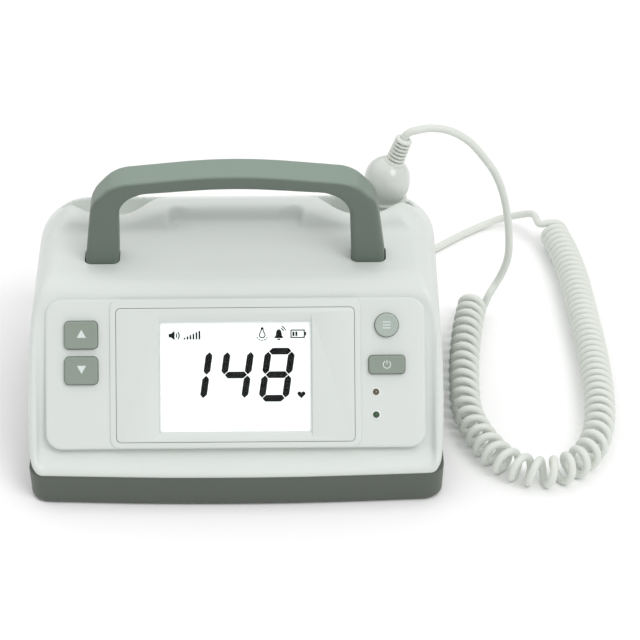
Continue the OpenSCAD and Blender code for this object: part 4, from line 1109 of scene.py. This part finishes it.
# %% [markdown]
# ## Turned pieces
# The probe, the plug, the sockets, the feet and the screws are all round, so each is one
# outline of radius and height turned about its axis.

# %% Turned pieces


def lathe(name, profile, at=None, sides=64, grooves=0, groove_depth=0.0):
    """Turns pairs of radius and height about the z axis, grooved lengthwise if asked."""
    turns = 2 * math.pi * np.arange(sides) / sides
    wave = 1 - groove_depth * (np.cos(grooves * turns) > 0.3) if grooves else np.ones(sides)
    return loft(name, [raised(circle(max(r, 0.01), sides) * wave[:, None], z)
                       for r, z in profile], at)


def quarter(r, z, radius, turn=1, steps=5):
    """Profile points of a rounded outer edge at r, z, going up, or down to the axis."""
    angles = [math.pi / 2 * k / steps for k in range(steps + 1)]
    if turn > 0:
        return [(r - radius + radius * math.cos(a), z - radius + radius * math.sin(a))
                for a in angles]
    return [(r - radius + radius * math.sin(a), z + radius - radius * math.cos(a))
            for a in angles]


# The ball's lower half is drawn out towards the neck, so it is longer than a sphere's.
LOWER_STRETCH = 1.45


def probe_head_profile():
    low = FACE_Z + FACE_H
    return quarter(HEAD_D / 2, low, 1.0, -1) + quarter(HEAD_D / 2, HEAD_TOP, 1.4)


def probe_grip_profile():
    flare = []
    for k in range(13):
        a = math.pi / 2 * k / 12
        flare.append((NECK_D / 2 + (HEAD_D / 2 - 1.6 - NECK_D / 2) * (1 - math.sin(a)),
                      HEAD_TOP + 0.05 + FLARE_H * (1 - math.cos(a))))
    lower = LOWER_STRETCH * BALL_D / 2
    join = BALL_Z - lower * math.sqrt(1 - (NECK_D / BALL_D) ** 2)
    lip = [(NECK_D / 2 + out, join - below) for out, below in (
        (0, 2.6), (0.7, 2.3), (0.9, 1.8), (0.7, 1.3), (0.1, 1.0), (-0.15, 0.5))]
    ball = []
    first = math.acos((join + 0.1 - BALL_Z) / lower)
    for k in range(41):
        a = first * (1 - k / 40)
        reach = lower if a > math.pi / 2 else BALL_D / 2
        ball.append((BALL_D / 2 * math.sin(a), BALL_Z + reach * math.cos(a)))
    return flare + lip + ball


def boot_frame(h=0.0):
    """Matrix to the relief's frame on the ball, at the height h along it."""
    return (Matrix.Translation(Vector(BALL)) @ Matrix.Rotation(BOOT_TILT, 4, "Y")
            @ Matrix.Translation((0, 0, SEAT_H + h)))


PROBE_AXIS = Matrix.Translation((PROBE_X, PROBE_Y, 0))
probe_head = shade(lathe("probe_head_shell", probe_head_profile(), PROBE_AXIS, 96), 35)
probe_grip = lathe("probe_grip_ball", probe_grip_profile(), PROBE_AXIS, 96)
combine(probe_grip, disc("seat", SEAT_R + 3, 0, 12, boot_frame()))
combine(probe_grip, disc("bore", 3.4, -24, 5, boot_frame()))
shade(round_edges(probe_grip, 0.3, 2, 35), 40)
face_profile = [(HEAD_D / 2 - inset, FACE_Z + h) for inset, h in (
    (1.6, 0), (1.2, 0.2), (1, 0.6), (1, FACE_H), (2.2, FACE_H), (2.2, FACE_H + 1.4))]
probe_face = shade(lathe("probe_window", face_profile, PROBE_AXIS, 96), 40)
print("probe:", triangles(probe_head), triangles(probe_grip), triangles(probe_face))

# %% [markdown]
# ## Copies on points
# Ribs, feet and screws repeat, so one Geometry Nodes tree sets a piece on every point it
# is given. Each point carries its own size, and the tree turns every copy the same way.
# It is turned into a plain mesh at once, so nothing depends on the modifier later.

# %% Copies on points


def wire(tree, *rows):
    """Links an output of one node to an input of another, one link for each row."""
    for source, output, target, entry in rows:
        tree.links.new(source.outputs[output], target.inputs[entry])


def preset(node, **values):
    """Sets inputs of a node, their names written with underscores."""
    for label, value in values.items():
        node.inputs[label.replace("_", " ")].default_value = value


def copies_tree():
    tree = bpy.data.node_groups.new("copies_on_points", "GeometryNodeTree")
    for label, kind in (("Geometry", "Geometry"), ("Piece", "Object"), ("Turn", "Vector"),
                        ("Material", "Material")):
        tree.interface.new_socket(label, in_out="INPUT", socket_type="NodeSocket" + kind)
    tree.interface.new_socket("Geometry", in_out="OUTPUT", socket_type="NodeSocketGeometry")
    names = ("NodeGroupInput", "GeometryNodeObjectInfo", "GeometryNodeInputNamedAttribute",
             "FunctionNodeEulerToRotation", "GeometryNodeInstanceOnPoints",
             "GeometryNodeRealizeInstances", "GeometryNodeSetMaterial", "NodeGroupOutput")
    given, info, size, turn, place, real, paint, out = [tree.nodes.new(n) for n in names]
    for k, node in enumerate(tree.nodes):
        node.location = (180 * k, 0)
    size.data_type = "FLOAT"
    preset(size, Name="size")
    wire(tree, (given, "Geometry", place, "Points"), (given, "Piece", info, "Object"),
         (info, "Geometry", place, "Instance"), (given, "Turn", turn, "Euler"),
         (turn, "Rotation", place, "Rotation"), (size, "Attribute", place, "Scale"),
         (place, "Instances", real, "Geometry"), (real, "Geometry", paint, "Geometry"),
         (given, "Material", paint, "Material"), (paint, "Geometry", out, "Geometry"))
    return tree


COPIES = copies_tree()
COPIES_SOCKETS = {item.name: item.identifier for item in COPIES.interface.items_tree
                  if item.in_out == "INPUT"}


def copies(name, piece, spots, sizes=None, turn=(0, 0, 0), material=None):
    """The piece, made at the origin, on every spot in millimetres."""
    thing = make_object(name, spots, [])
    sizes = [1.0] * len(spots) if sizes is None else sizes
    thing.data.attributes.new("size", "FLOAT", "POINT").data.foreach_set("value", sizes)
    step = thing.modifiers.new("copies", "NODES")
    step.node_group = COPIES
    step[COPIES_SOCKETS["Piece"]] = piece
    step[COPIES_SOCKETS["Turn"]] = turn
    step[COPIES_SOCKETS["Material"]] = material
    bpy.context.view_layer.update()
    apply_modifiers(thing)
    bpy.data.objects.remove(piece, do_unlink=True)
    return thing


print("copies tree:", len(COPIES.nodes), "nodes")

# %% [markdown]
# ## Strain reliefs
# Both reliefs are a soft core with rings round it. On the probe's one the rings are joined
# by two struts, and the dark slots between them let it bend. The rings get smaller towards
# the tip, and the last ring is a plain collar that the cord comes out of.

# %% Probe relief
BOOT_RIBS, BOOT_R0, BOOT_R1 = 6, 5.3, 4.7
BOOT_STEP = BOOT_L / (BOOT_RIBS + 0.9)


def relief_core(name, length, r0, r1, at):
    profile = [(r0 * 0.58, -4), (r0 * 0.58, 0), (r0 * 0.6, 0.2), (r1 * 0.6, length - 0.6),
               (r1 * 0.6 - 0.3, length)]
    return lathe(name, profile, at, 40)


def relief_ring(name, r, height, edge):
    profile = [(r - 2.0, 0), (r - edge, 0)] + quarter(r, 0, edge, -1, 3)[1:] \
        + quarter(r, height, edge, 1, 3) + [(r - 2.0, height)]
    return lathe(name, profile, None, 48)


def make_probe_relief():
    heights = [0.15 + BOOT_STEP * k for k in range(BOOT_RIBS + 1)]
    radii = [BOOT_R0 + (BOOT_R1 - BOOT_R0) * h / BOOT_L for h in heights]
    spots = [BALL + BOOT_DIR * (SEAT_H + h) for h in heights]
    rings = copies("rings", relief_ring("ring", BOOT_R0, BOOT_STEP * 0.58, 0.35), spots,
                   [r / BOOT_R0 for r in radii], (0, BOOT_TILT, 0))
    parts = [relief_core("core", BOOT_L, BOOT_R0, BOOT_R1, boot_frame()), rings]
    for side in (-1, 1):
        loops = [raised(rect_loop(2.0, 4.6, 0.6, 3) + [side * x, 0], h)
                 for x, h in ((BOOT_R0 - 1.5, 0.2), (BOOT_R1 - 1.35, BOOT_L - 0.9))]
        parts.append(loft("strut", loops, boot_frame()))
    parts.append(lathe("foot_ring", quarter(BOOT_R0 + 0.5, -0.25, 0.2, -1, 2)
                       + quarter(BOOT_R0 + 0.5, 0.75, 0.4), boot_frame(), 48))
    low, r = BOOT_L - 1.9, BOOT_R1 + 0.1
    parts.append(lathe("collar", [(BOOT_R1 * 0.6, low)] + quarter(r, low, 0.3, -1, 3)[1:]
                       + quarter(r, BOOT_L, 1.4), boot_frame(), 48))
    return shade(merge("probe_relief", parts), 40)


probe_relief = make_probe_relief()
print("probe relief:", triangles(probe_relief), "triangles")

# %% Plug and its relief
PLUG_FACE = Vector((PLUG_X, WALL_Y + SOCK_FACE, SOCKET_Z))
PLUG_BOOT_R, PLUG_BOOT_TAPER = 5.5, 2.0


def out_of_wall(x, y, z):
    """Matrix to a frame whose z axis points out of the rear wall."""
    return Matrix.Translation((x, y, z)) @ Matrix.Rotation(-math.pi / 2, 4, "X")


def make_plug():
    at = out_of_wall(*PLUG_FACE)
    nose = lathe("nose", [(5.2, -7), (5.8, -6.4), (5.8, 0.5)], at, 48)
    body = lathe("body", [(6.2, 0.1), (6.8, 0.3), (7.0, 0.9), (7.0, 4.6), (6.5, 4.9), (6.5, 5.3),
                          (7.0, 5.6), (7.0, PLUG_L - 2.4)] + quarter(7.0, PLUG_L, 1.6)[1:], at, 96)
    grip = lathe("grip", [(6.9, 5.7), (7.4, 5.8), (7.6, 6.1), (7.6, 12.4), (7.4, 12.7),
                          (6.9, 12.8)], at, 144, 24, 0.055)
    return shade(merge("probe_plug_shell", [nose, body, grip]), 30)


def make_plug_relief():
    at = out_of_wall(PLUG_X, PLUG_FACE.y + PLUG_L, SOCKET_Z)
    step = PLUG_BOOT_L / 7.6
    heights = [0.1 + step * k for k in range(7)]
    spots = [PLUG_FACE + Vector((0, PLUG_L + h, 0)) for h in heights]
    sizes = [1 - PLUG_BOOT_TAPER / PLUG_BOOT_R * h / PLUG_BOOT_L for h in heights]
    rings = copies("rings", relief_ring("ring", PLUG_BOOT_R, step * 0.6, 0.35), spots, sizes,
                   (-math.pi / 2, 0, 0))
    core = relief_core("core", PLUG_BOOT_L - 0.4, PLUG_BOOT_R, 3.9, at)
    return shade(merge("plug_relief", [core, rings]), 40)


plug, plug_relief = make_plug(), make_plug_relief()
print("plug:", triangles(plug), "relief:", triangles(plug_relief))

# %% [markdown]
# ## Rear sockets, feet, screws and lamps
# The sockets' flanges have soft edges and real bores. The case screws have a cross in
# their heads, and the rubber feet a rounded rim and a small dimple where they are moulded.

# %% Sockets


def rear_socket(name, x, r, flange, bore, depth, length, pin=0.0):
    """A flanged socket in the rear wall, with a middle pin if it has a radius."""
    at = out_of_wall(x, WALL_Y, SOCKET_Z)
    hole = [(0.01, SOCK_FACE - depth), (bore, SOCK_FACE - depth), (bore, SOCK_FACE - 0.35),
            (bore + 0.35, SOCK_FACE)]
    outer = quarter(flange, SOCK_FACE, 0.5, 1)[::-1]
    back = [(flange, 0.02), (r, 0.02), (r, -length), (0.2, -length)]
    thing = lathe(name, (hole + outer + back)[::-1], at, 72)
    if pin:
        tip = lathe("pin", [(pin, -depth + 0.5), (pin, -0.5), (pin * 0.6, 0.0)], at, 24)
        thing = merge(name, [thing, tip])
    return shade(thing, 30)


probe_socket = rear_socket("probe_socket_ring", PLUG_X, 7.8, 10, 6.2, 9, 14)
power_socket = rear_socket("power_socket_ring", DC_X, 4.4, 6, 2.8, 10, 14, 0.95)
ear_socket = rear_socket("earphone_socket_ring", EAR_X, 3.4, 4.8, 1.75, 14, 16)
print("sockets:", [triangles(t) for t in (probe_socket, power_socket, ear_socket)])

# %% Feet, screws and lamps
DOOR_GAP = 0.3


def make_feet():
    foot = lathe("foot", [(0.6, 0.9), (2.0, 0.75), (3.2, 0.15), (3.8, 0)]
                 + quarter(8, 0, 0.8, -1)[1:]
                 + [(8, FOOT_H - 0.02), (7, FOOT_H), (7, FOOT_H + 0.9)])
    return shade(copies("rubber_feet_pads", foot, [(x, y, 0) for x, y in FOOT_SPOTS]), 40)


def make_case_screws():
    low = FOOT_H + 1
    profile = ((0.2, -0.25), (1.6, -0.2), (2.5, 0.1), (2.9, 0.7), (2.9, 2), (1.4, 2),
               (1.4, TRAY_H + 4.6), (0.9, TRAY_H + 5))
    screw = lathe("screw", [(r, low + h) for r, h in profile], None, 40)
    for turn in (0, math.pi / 2):
        combine(screw, plate("cross", 3.2, 0.62, 0.1, [(low - 1, 0), (low + 1.1, 0)],
                             Matrix.Rotation(turn + 0.5, 4, "Z")))
    return shade(copies("case_screw_heads", screw, [(x, y, 0) for x, y in SCREW_SPOTS]), 35)


def make_door():
    door = plate("battery_cover", DOOR_W - 2 * DOOR_GAP, DOOR_L - 2 * DOOR_GAP, 2,
                 [(0.05, 0.5), (0.2, 0.15), (0.5, 0), (1.2, 0)], DOOR_AT)
    tab = plate("tab", DOOR_W - 10.6, DOOR_L - 10.6, 1, [(1.1, 0), (2.2, 0)], DOOR_AT)
    combine(door, tab, "UNION")
    thumb = DOOR_AT @ Matrix.Translation((0, 9 - DOOR_L / 2, 0))
    combine(door, plate("thumb", 17, 6, 2.9, [(-1, -0.5), (0.1, 0), (0.5, 0.6)], thumb))
    ribs = [plate("rib", 12, 0.7, 0.3, [(0.3, 0), (0.75, 0)],
                  thumb @ Matrix.Translation((0, 1.5 * k, 0))) for k in (-1, 0, 1)]
    return shade(merge("battery_cover", [door] + ribs), 30)


def make_lamp(name, v):
    at = on_slope(LED_X, v)
    dome = [(1.5 * math.cos(a), 1.35 * math.sin(a)) for a in math.pi / 2 * np.arange(1, 9) / 8]
    lens = lathe(name, [(1.85, -4.6), (1.85, -3.6), (1.5, -3.6), (1.5, 0)] + dome, at, 48)
    legs = [plate("leg", 0.5, 0.5, 0.1, [(-12, 0), (-4.4, 0)], on_slope(LED_X + x, v))
            for x in (-1.27, 1.27)]
    return shade(merge(name, [lens] + legs), 40)


def make_lamp_ring(v):
    profile = [(1.65, -2.4), (2.6, -2.4), (2.6, 0.0), (2.55, 0.2), (2.3, 0.42), (2.0, 0.46),
               (1.75, 0.3), (1.65, 0.0), (1.65, -2.39)]
    return lathe("lamp_ring", profile, on_slope(LED_X, v), 48)


feet, case_screws, door = make_feet(), make_case_screws(), make_door()
charge_lamp, power_lamp = make_lamp("charge_lamp", LED_V[0]), make_lamp("power_lamp", LED_V[1])
lamp_rings = shade(merge("lamp_rings", [make_lamp_ring(v) for v in LED_V]), 40)
print("feet:", triangles(feet), "screws:", triangles(case_screws), "door:", triangles(door))

# %% [markdown]
# ## Shader groups
# Moulded plastic is never one flat colour. One group gives every plastic piece its fine
# grain, a slow drift of colour and patches that are a little more or less shiny. It can
# also paint light into the colour: faces that look up come out paler, a painted top light
# that the grip uses. It gives out colour, roughness and normal, and each material keeps
# its own shader.

# %% Shader groups


def group_nodes(tree, *kinds):
    made = []
    for k, kind in enumerate(kinds):
        node = tree.nodes.new("ShaderNode" + kind)
        node.location = (190 * (k % 6), -260 * (k // 6))
        made.append(node)
    return made


def new_group(name, inputs):
    """A shader group with these inputs that gives out colour, roughness and normal."""
    tree = bpy.data.node_groups.new(name, "ShaderNodeTree")
    for label, kind, value in inputs:
        socket = tree.interface.new_socket(label, in_out="INPUT", socket_type="NodeSocket" + kind)
        if value is not None:
            socket.default_value = value
    for label, kind in (("Color", "Color"), ("Roughness", "Float"), ("Normal", "Vector")):
        tree.interface.new_socket(label, in_out="OUTPUT", socket_type="NodeSocket" + kind)
    given, out = tree.nodes.new("NodeGroupInput"), tree.nodes.new("NodeGroupOutput")
    given.location, out.location = (-220, 0), (1300, 0)
    return tree, given, out


def moulded_group():
    tree, given, out = new_group(
        "moulded_grain",
        [("Vector", "Vector", None), ("Color", "Color", (0.8, 0.8, 0.8, 1)),
         ("Roughness", "Float", 0.45), ("Grain per metre", "Float", 1500.0),
         ("Depth", "Float", 0.00004), ("Drift", "Float", 0.03), ("Upper tone", "Float", 1.0)])
    grain, slow, patch, value, tone, polish, relief = group_nodes(
        tree, "TexNoise", "TexNoise", "TexNoise", "MapRange", "HueSaturation", "MapRange", "Bump")
    surface, parts, upper, drift_and_top_light = group_nodes(
        tree, "NewGeometry", "SeparateXYZ", "MapRange", "Math")
    for texture, scale, detail in ((grain, 1500, 2), (slow, 14, 1), (patch, 90, 3)):
        preset(texture, Scale=scale, Detail=detail)
        wire(tree, (given, "Vector", texture, "Vector"))
    low, high = group_nodes(tree, "Math", "Math")
    for node, operation in ((low, "SUBTRACT"), (high, "ADD")):
        node.operation = operation
        node.inputs[0].default_value = 1
        wire(tree, (given, "Drift", node, 1))
    # Painted top light: faces whose normal points up get a paler colour, up to the given factor,
    # so light is painted into the colour.
    preset(upper, From_Min=0.45, From_Max=0.85, To_Min=1)
    drift_and_top_light.operation = "MULTIPLY"
    smooth, dull = group_nodes(tree, "Math", "Math")
    for node, amount in ((smooth, -0.06), (dull, 0.06)):
        node.operation = "ADD"
        node.inputs[1].default_value = amount
        wire(tree, (given, "Roughness", node, 0))
    wire(tree, (given, "Grain per metre", grain, "Scale"), (slow, "Fac", value, "Value"),
         (low, "Value", value, "To Min"), (high, "Value", value, "To Max"),
         (surface, "Normal", parts, "Vector"), (parts, "Z", upper, "Value"),
         (given, "Upper tone", upper, "To Max"), (value, "Result", drift_and_top_light, 0),
         (upper, "Result", drift_and_top_light, 1), (given, "Color", tone, "Color"),
         (drift_and_top_light, "Value", tone, "Value"), (patch, "Fac", polish, "Value"),
         (smooth, "Value", polish, "To Min"), (dull, "Value", polish, "To Max"),
         (grain, "Fac", relief, "Height"), (given, "Depth", relief, "Distance"),
         (tone, "Color", out, "Color"), (polish, "Result", out, "Roughness"),
         (relief, "Normal", out, "Normal"))
    return tree


def brushed_group():
    tree, given, out = new_group(
        "brushed_metal", [("Vector", "Vector", None), ("Color", "Color", (0.6, 0.6, 0.6, 1))])
    stretch, lines, value, tone, polish, relief = group_nodes(
        tree, "Mapping", "TexNoise", "MapRange", "HueSaturation", "MapRange", "Bump")
    preset(stretch, Scale=(3000, 120, 3000))
    preset(lines, Scale=1)
    preset(value, To_Min=0.86, To_Max=1.1)
    preset(polish, To_Min=0.24, To_Max=0.42)
    preset(relief, Distance=0.00003)
    wire(tree, (given, "Vector", stretch, "Vector"), (stretch, "Vector", lines, "Vector"),
         (lines, "Fac", value, "Value"), (lines, "Fac", polish, "Value"),
         (lines, "Fac", relief, "Height"), (given, "Color", tone, "Color"),
         (value, "Result", tone, "Value"), (tone, "Color", out, "Color"),
         (polish, "Result", out, "Roughness"), (relief, "Normal", out, "Normal"))
    return tree


def board_group():
    tree, given, out = new_group(
        "circuit_traces", [("Vector", "Vector", None), ("Color", "Color", (0.02, 0.16, 0.06, 1))])
    cells, edge, polish, tone, relief = group_nodes(
        tree, "TexBrick", "MapRange", "MapRange", "HueSaturation", "Bump")
    preset(cells, Scale=130, Mortar_Size=0.09, Mortar_Smooth=0.2)
    preset(edge, To_Min=0.75, To_Max=1.9)
    preset(polish, To_Min=0.35, To_Max=0.2)
    preset(relief, Distance=0.00003)
    wire(tree, (given, "Vector", cells, "Vector"), (cells, "Fac", edge, "Value"),
         (cells, "Fac", polish, "Value"), (cells, "Fac", relief, "Height"),
         (given, "Color", tone, "Color"), (edge, "Result", tone, "Value"),
         (tone, "Color", out, "Color"), (polish, "Result", out, "Roughness"),
         (relief, "Normal", out, "Normal"))
    return tree


MOULDED, BRUSHED, TRACES = moulded_group(), brushed_group(), board_group()
print("groups:", MOULDED.name, BRUSHED.name, TRACES.name)

# %% [markdown]
# ## Materials
# There is one material for each of the record's slots. The colours are linear, worked out
# from what the photograph shows under its light.

# %% Materials


def linear(r, g, b):
    """Linear colour of an sRGB colour in 0 to 255."""
    return tuple((c / 255 / 12.92) if c <= 10 else ((c / 255 + 0.055) / 1.055) ** 2.4
                 for c in (r, g, b)) + (1.0,)


def material(name, group, color, given=None, **constants):
    """A material of its own shader, fed by a group; constants set the shader's inputs."""
    paint = bpy.data.materials.new(name)
    paint.use_nodes = True
    tree = paint.node_tree
    shader = tree.nodes["Principled BSDF"]
    where, effect = tree.nodes.new("ShaderNodeTexCoord"), tree.nodes.new("ShaderNodeGroup")
    effect.node_tree = group
    where.location, effect.location = (-520, 0), (-280, 0)
    preset(effect, Color=color, **(given or {}))
    wire(tree, (where, "Object", effect, "Vector"), (effect, "Color", shader, "Base Color"),
         (effect, "Roughness", shader, "Roughness"), (effect, "Normal", shader, "Normal"))
    preset(shader, **constants)
    paint.diffuse_color = color
    return paint


# upper paints light onto faces that look up, making them paler by that factor: painted top light.
def soft(name, color, roughness, depth=0.00004, grain=1500.0, drift=0.02, upper=1.0,
         **constants):
    given = dict(Roughness=roughness, Depth=depth, Grain_per_metre=grain, Drift=drift,
                 Upper_tone=upper)
    return material(name, MOULDED, color, given, **constants)


paints = {
    "casing": soft("casing_plastic", linear(218, 223, 219), 0.36, 0.00003),
    "tray": soft("tray_plastic", linear(84, 91, 83), 0.45),
    # The grip is its own grey green, set darker to take in the shade on its front faces, and upper
    # paints light onto its faces that look up: painted shade and painted top light.
    "grip": soft("grip_plastic", linear(100, 112, 103), 0.42, upper=1.9, Specular_IOR_Level=0.35),
    "key": soft("key_plastic", linear(140, 151, 140), 0.42),
    "round_key": soft("round_key_plastic", linear(171, 182, 175), 0.34),
    "probe": soft("probe_plastic", linear(212, 216, 211), 0.24, 0.00001, drift=0.01,
                  Coat_Weight=0.3),
    "probe_face": soft("probe_window_plastic", linear(88, 92, 94), 0.3),
    "cord": soft("cord_jacket", linear(222, 226, 219), 0.5, 0.00008, 2200.0, 0.03,
                 Sheen_Weight=0.1),
    "plug": soft("plug_plastic", linear(40, 41, 42), 0.45),
    "diffuser": soft("light_guide", linear(240, 242, 242), 0.3),
    "switch": soft("switch_plastic", linear(38, 38, 40), 0.45),
    "battery": soft("battery_wrap", linear(60, 95, 160), 0.25),
    "speaker": soft("speaker_paint", linear(52, 52, 56), 0.5, 0.0001, 700.0),
    "foot": soft("foot_rubber", linear(46, 46, 47), 0.75, 0.00015, 900.0),
    "steel": material("plated_steel", BRUSHED, linear(205, 205, 208), Metallic=1.0),
    "crystal": material("silvered_disc", BRUSHED, linear(220, 219, 214), Metallic=1.0),
    "board": material("circuit_board", TRACES, linear(24, 110, 60), Specular_IOR_Level=0.6),
    "lamp_amber": soft("amber_lamp", linear(98, 88, 66), 0.12, 0.00001, Coat_Weight=0.6),
    "lamp_green": soft("green_lamp", linear(14, 52, 28), 0.12, 0.00001, Coat_Weight=0.6,
                       Emission_Color=linear(20, 150, 60), Emission_Strength=0.08),
    "print": soft("pale_print", linear(216, 226, 223), 0.5, 0.00001),
    "ring": soft("lamp_ring_plastic", linear(236, 240, 237), 0.3, 0.00002),
    "sign": soft("display_ink", linear(8, 8, 9), 0.5, 0.00001, Specular_IOR_Level=0.1),
    "lens": soft("window_acrylic", linear(252, 254, 253), 0.06, 0.0, drift=0.0,
                 Transmission_Weight=1.0, IOR=1.2, Specular_IOR_Level=0.1),
    "lcd": soft("display_glass", linear(250, 252, 252), 0.2, 0.0, drift=0.004,
                Emission_Color=linear(250, 254, 255), Emission_Strength=0.3,
                Specular_IOR_Level=0.1),
}
print("materials:", len(paints))

# %% Paint the pieces
# Each row is a piece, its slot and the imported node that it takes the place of.
ON_CASING = (
    (casing, "casing", "top_shell"), (tray, "tray", "base_tray"),
    (panel, "casing", "control_panel"), (surround, "casing", "display_frame"),
    (window, "lens", "display_lens"), (display_signs, None, None), (handle, "grip", "handle"),
    (plug, "plug", "probe_plug"), (plug_relief, "cord", "plug_boot"),
    (probe_socket, "steel", "probe_socket"), (power_socket, "switch", "dc_jack"),
    (ear_socket, "switch", "ear_jack"), (feet, "foot", "rubber_feet"),
    (case_screws, "steel", "case_screws"), (door, "tray", "battery_door"),
    (charge_lamp, "lamp_amber", "charge_led"), (power_lamp, "lamp_green", "power_led"),
    (lamp_rings, "casing", None))
ON_PROBE = (
    (probe_head, "probe", "probe_head"), (probe_grip, "probe", "probe_grip"),
    (probe_face, "probe_face", "probe_face"), (probe_relief, "cord", "probe_boot"))
OWN_PAINT = {display_signs: "sign", lamp_rings: "ring", keys["mode"]: "round_key"}


def painted(thing, slot):
    thing.data.materials.clear()
    thing.data.materials.append(paints[OWN_PAINT.get(thing, slot)])


for thing, slot, _ in ON_CASING + ON_PROBE + ((cord, "cord", None),):
    painted(thing, slot)
for key in keys:
    painted(keys[key], "key")
    painted(key_signs[key], "print")
slot_of = {row["node"]: row["material_slot"] for row in frame["record"]["subparts"]}
for node, thing in frame["nodes"].items():
    for place in thing.material_slots:
        place.material = paints[slot_of[node]]
print("nodes painted:", len(frame["nodes"]))

# %% [markdown]
# ## What moves with what
# Every piece but the cord rides on one of the imported model's bodies. The cord rides on
# none: its mesh is set in place where it lies.

# %% Riding and replacing
REPLACED = {
    "up": ("up_key", "up_button"), "down": ("down_key", "down_button"),
    "mode": ("mode_key", "mode_button"), "power": ("power_key", "power_button"),
}
for key, (body, node) in REPLACED.items():
    for thing in (keys[key], key_signs[key]):
        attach(thing, body)
    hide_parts(node)

for body, rows in (("casing", ON_CASING), ("probe", ON_PROBE)):
    for thing, slot, node in rows:
        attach(thing, body)
        if node:
            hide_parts(node)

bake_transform(cord)
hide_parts("probe_lead", "curly_cord", "device_lead")
print("riding:", len(ON_CASING + ON_PROBE) + 2 * len(keys), "pieces and the cord")

# %% [markdown]
# ## Studio
# A white table, a white surround for the camera, a soft key light from the upper right and
# in front, and a softer one from above and behind. The surround looks brighter to the
# camera than it lights, and the table is plain, so it keeps only the object's shadow.

# %% Studio
TABLE_HALF, TABLE_TOP = 6000.0, -0.05
LIGHTS = (("key_light", (0.5, -0.5, 0.9), 0.95, 30), ("fill_light", (-0.15, 0.3, 1), 0.85, 80))


def make_floor():
    corners = TABLE_HALF * np.array([[-1, -1], [1, -1], [1, 1], [-1, 1]])
    floor = loft("floor", [raised(corners, z) for z in (-20, TABLE_TOP)])
    paint = bpy.data.materials.new("table")
    paint.use_nodes = True
    preset(paint.node_tree.nodes["Principled BSDF"], Base_Color=(0.98, 0.98, 0.98, 1),
           Roughness=0.9, Specular_IOR_Level=0.0)
    floor.data.materials.append(paint)


def make_world(lit=0.6, seen=1.0):
    """A white surround with one strength as a light and another where it is seen."""
    world = bpy.data.worlds.new("studio")
    world.use_nodes = True
    tree = world.node_tree
    sky = tree.nodes["Background"]
    path, pick, strength = (tree.nodes.new("ShaderNode" + n)
                            for n in ("LightPath", "Math", "MapRange"))
    pick.operation = "MAXIMUM"
    preset(sky, Color=(1, 1, 1, 1))
    preset(strength, To_Min=lit, To_Max=seen)
    wire(tree, (path, "Is Camera Ray", pick, 0), (path, "Is Transmission Ray", pick, 1),
         (pick, "Value", strength, "Value"), (strength, "Result", sky, "Strength"))
    bpy.context.scene.world = world


def make_sun(name, direction, strength, angle):
    data = bpy.data.lights.new(name, "SUN")
    data.energy = strength
    data.angle = math.radians(angle)
    sun = bpy.data.objects.new(name, data)
    sun.rotation_euler = Vector(direction).to_track_quat("Z", "Y").to_euler()
    bpy.context.collection.objects.link(sun)


make_floor()
make_world()
for light in LIGHTS:
    make_sun(*light)
bpy.context.scene.view_settings.view_transform = "Standard"
print("lights ready")
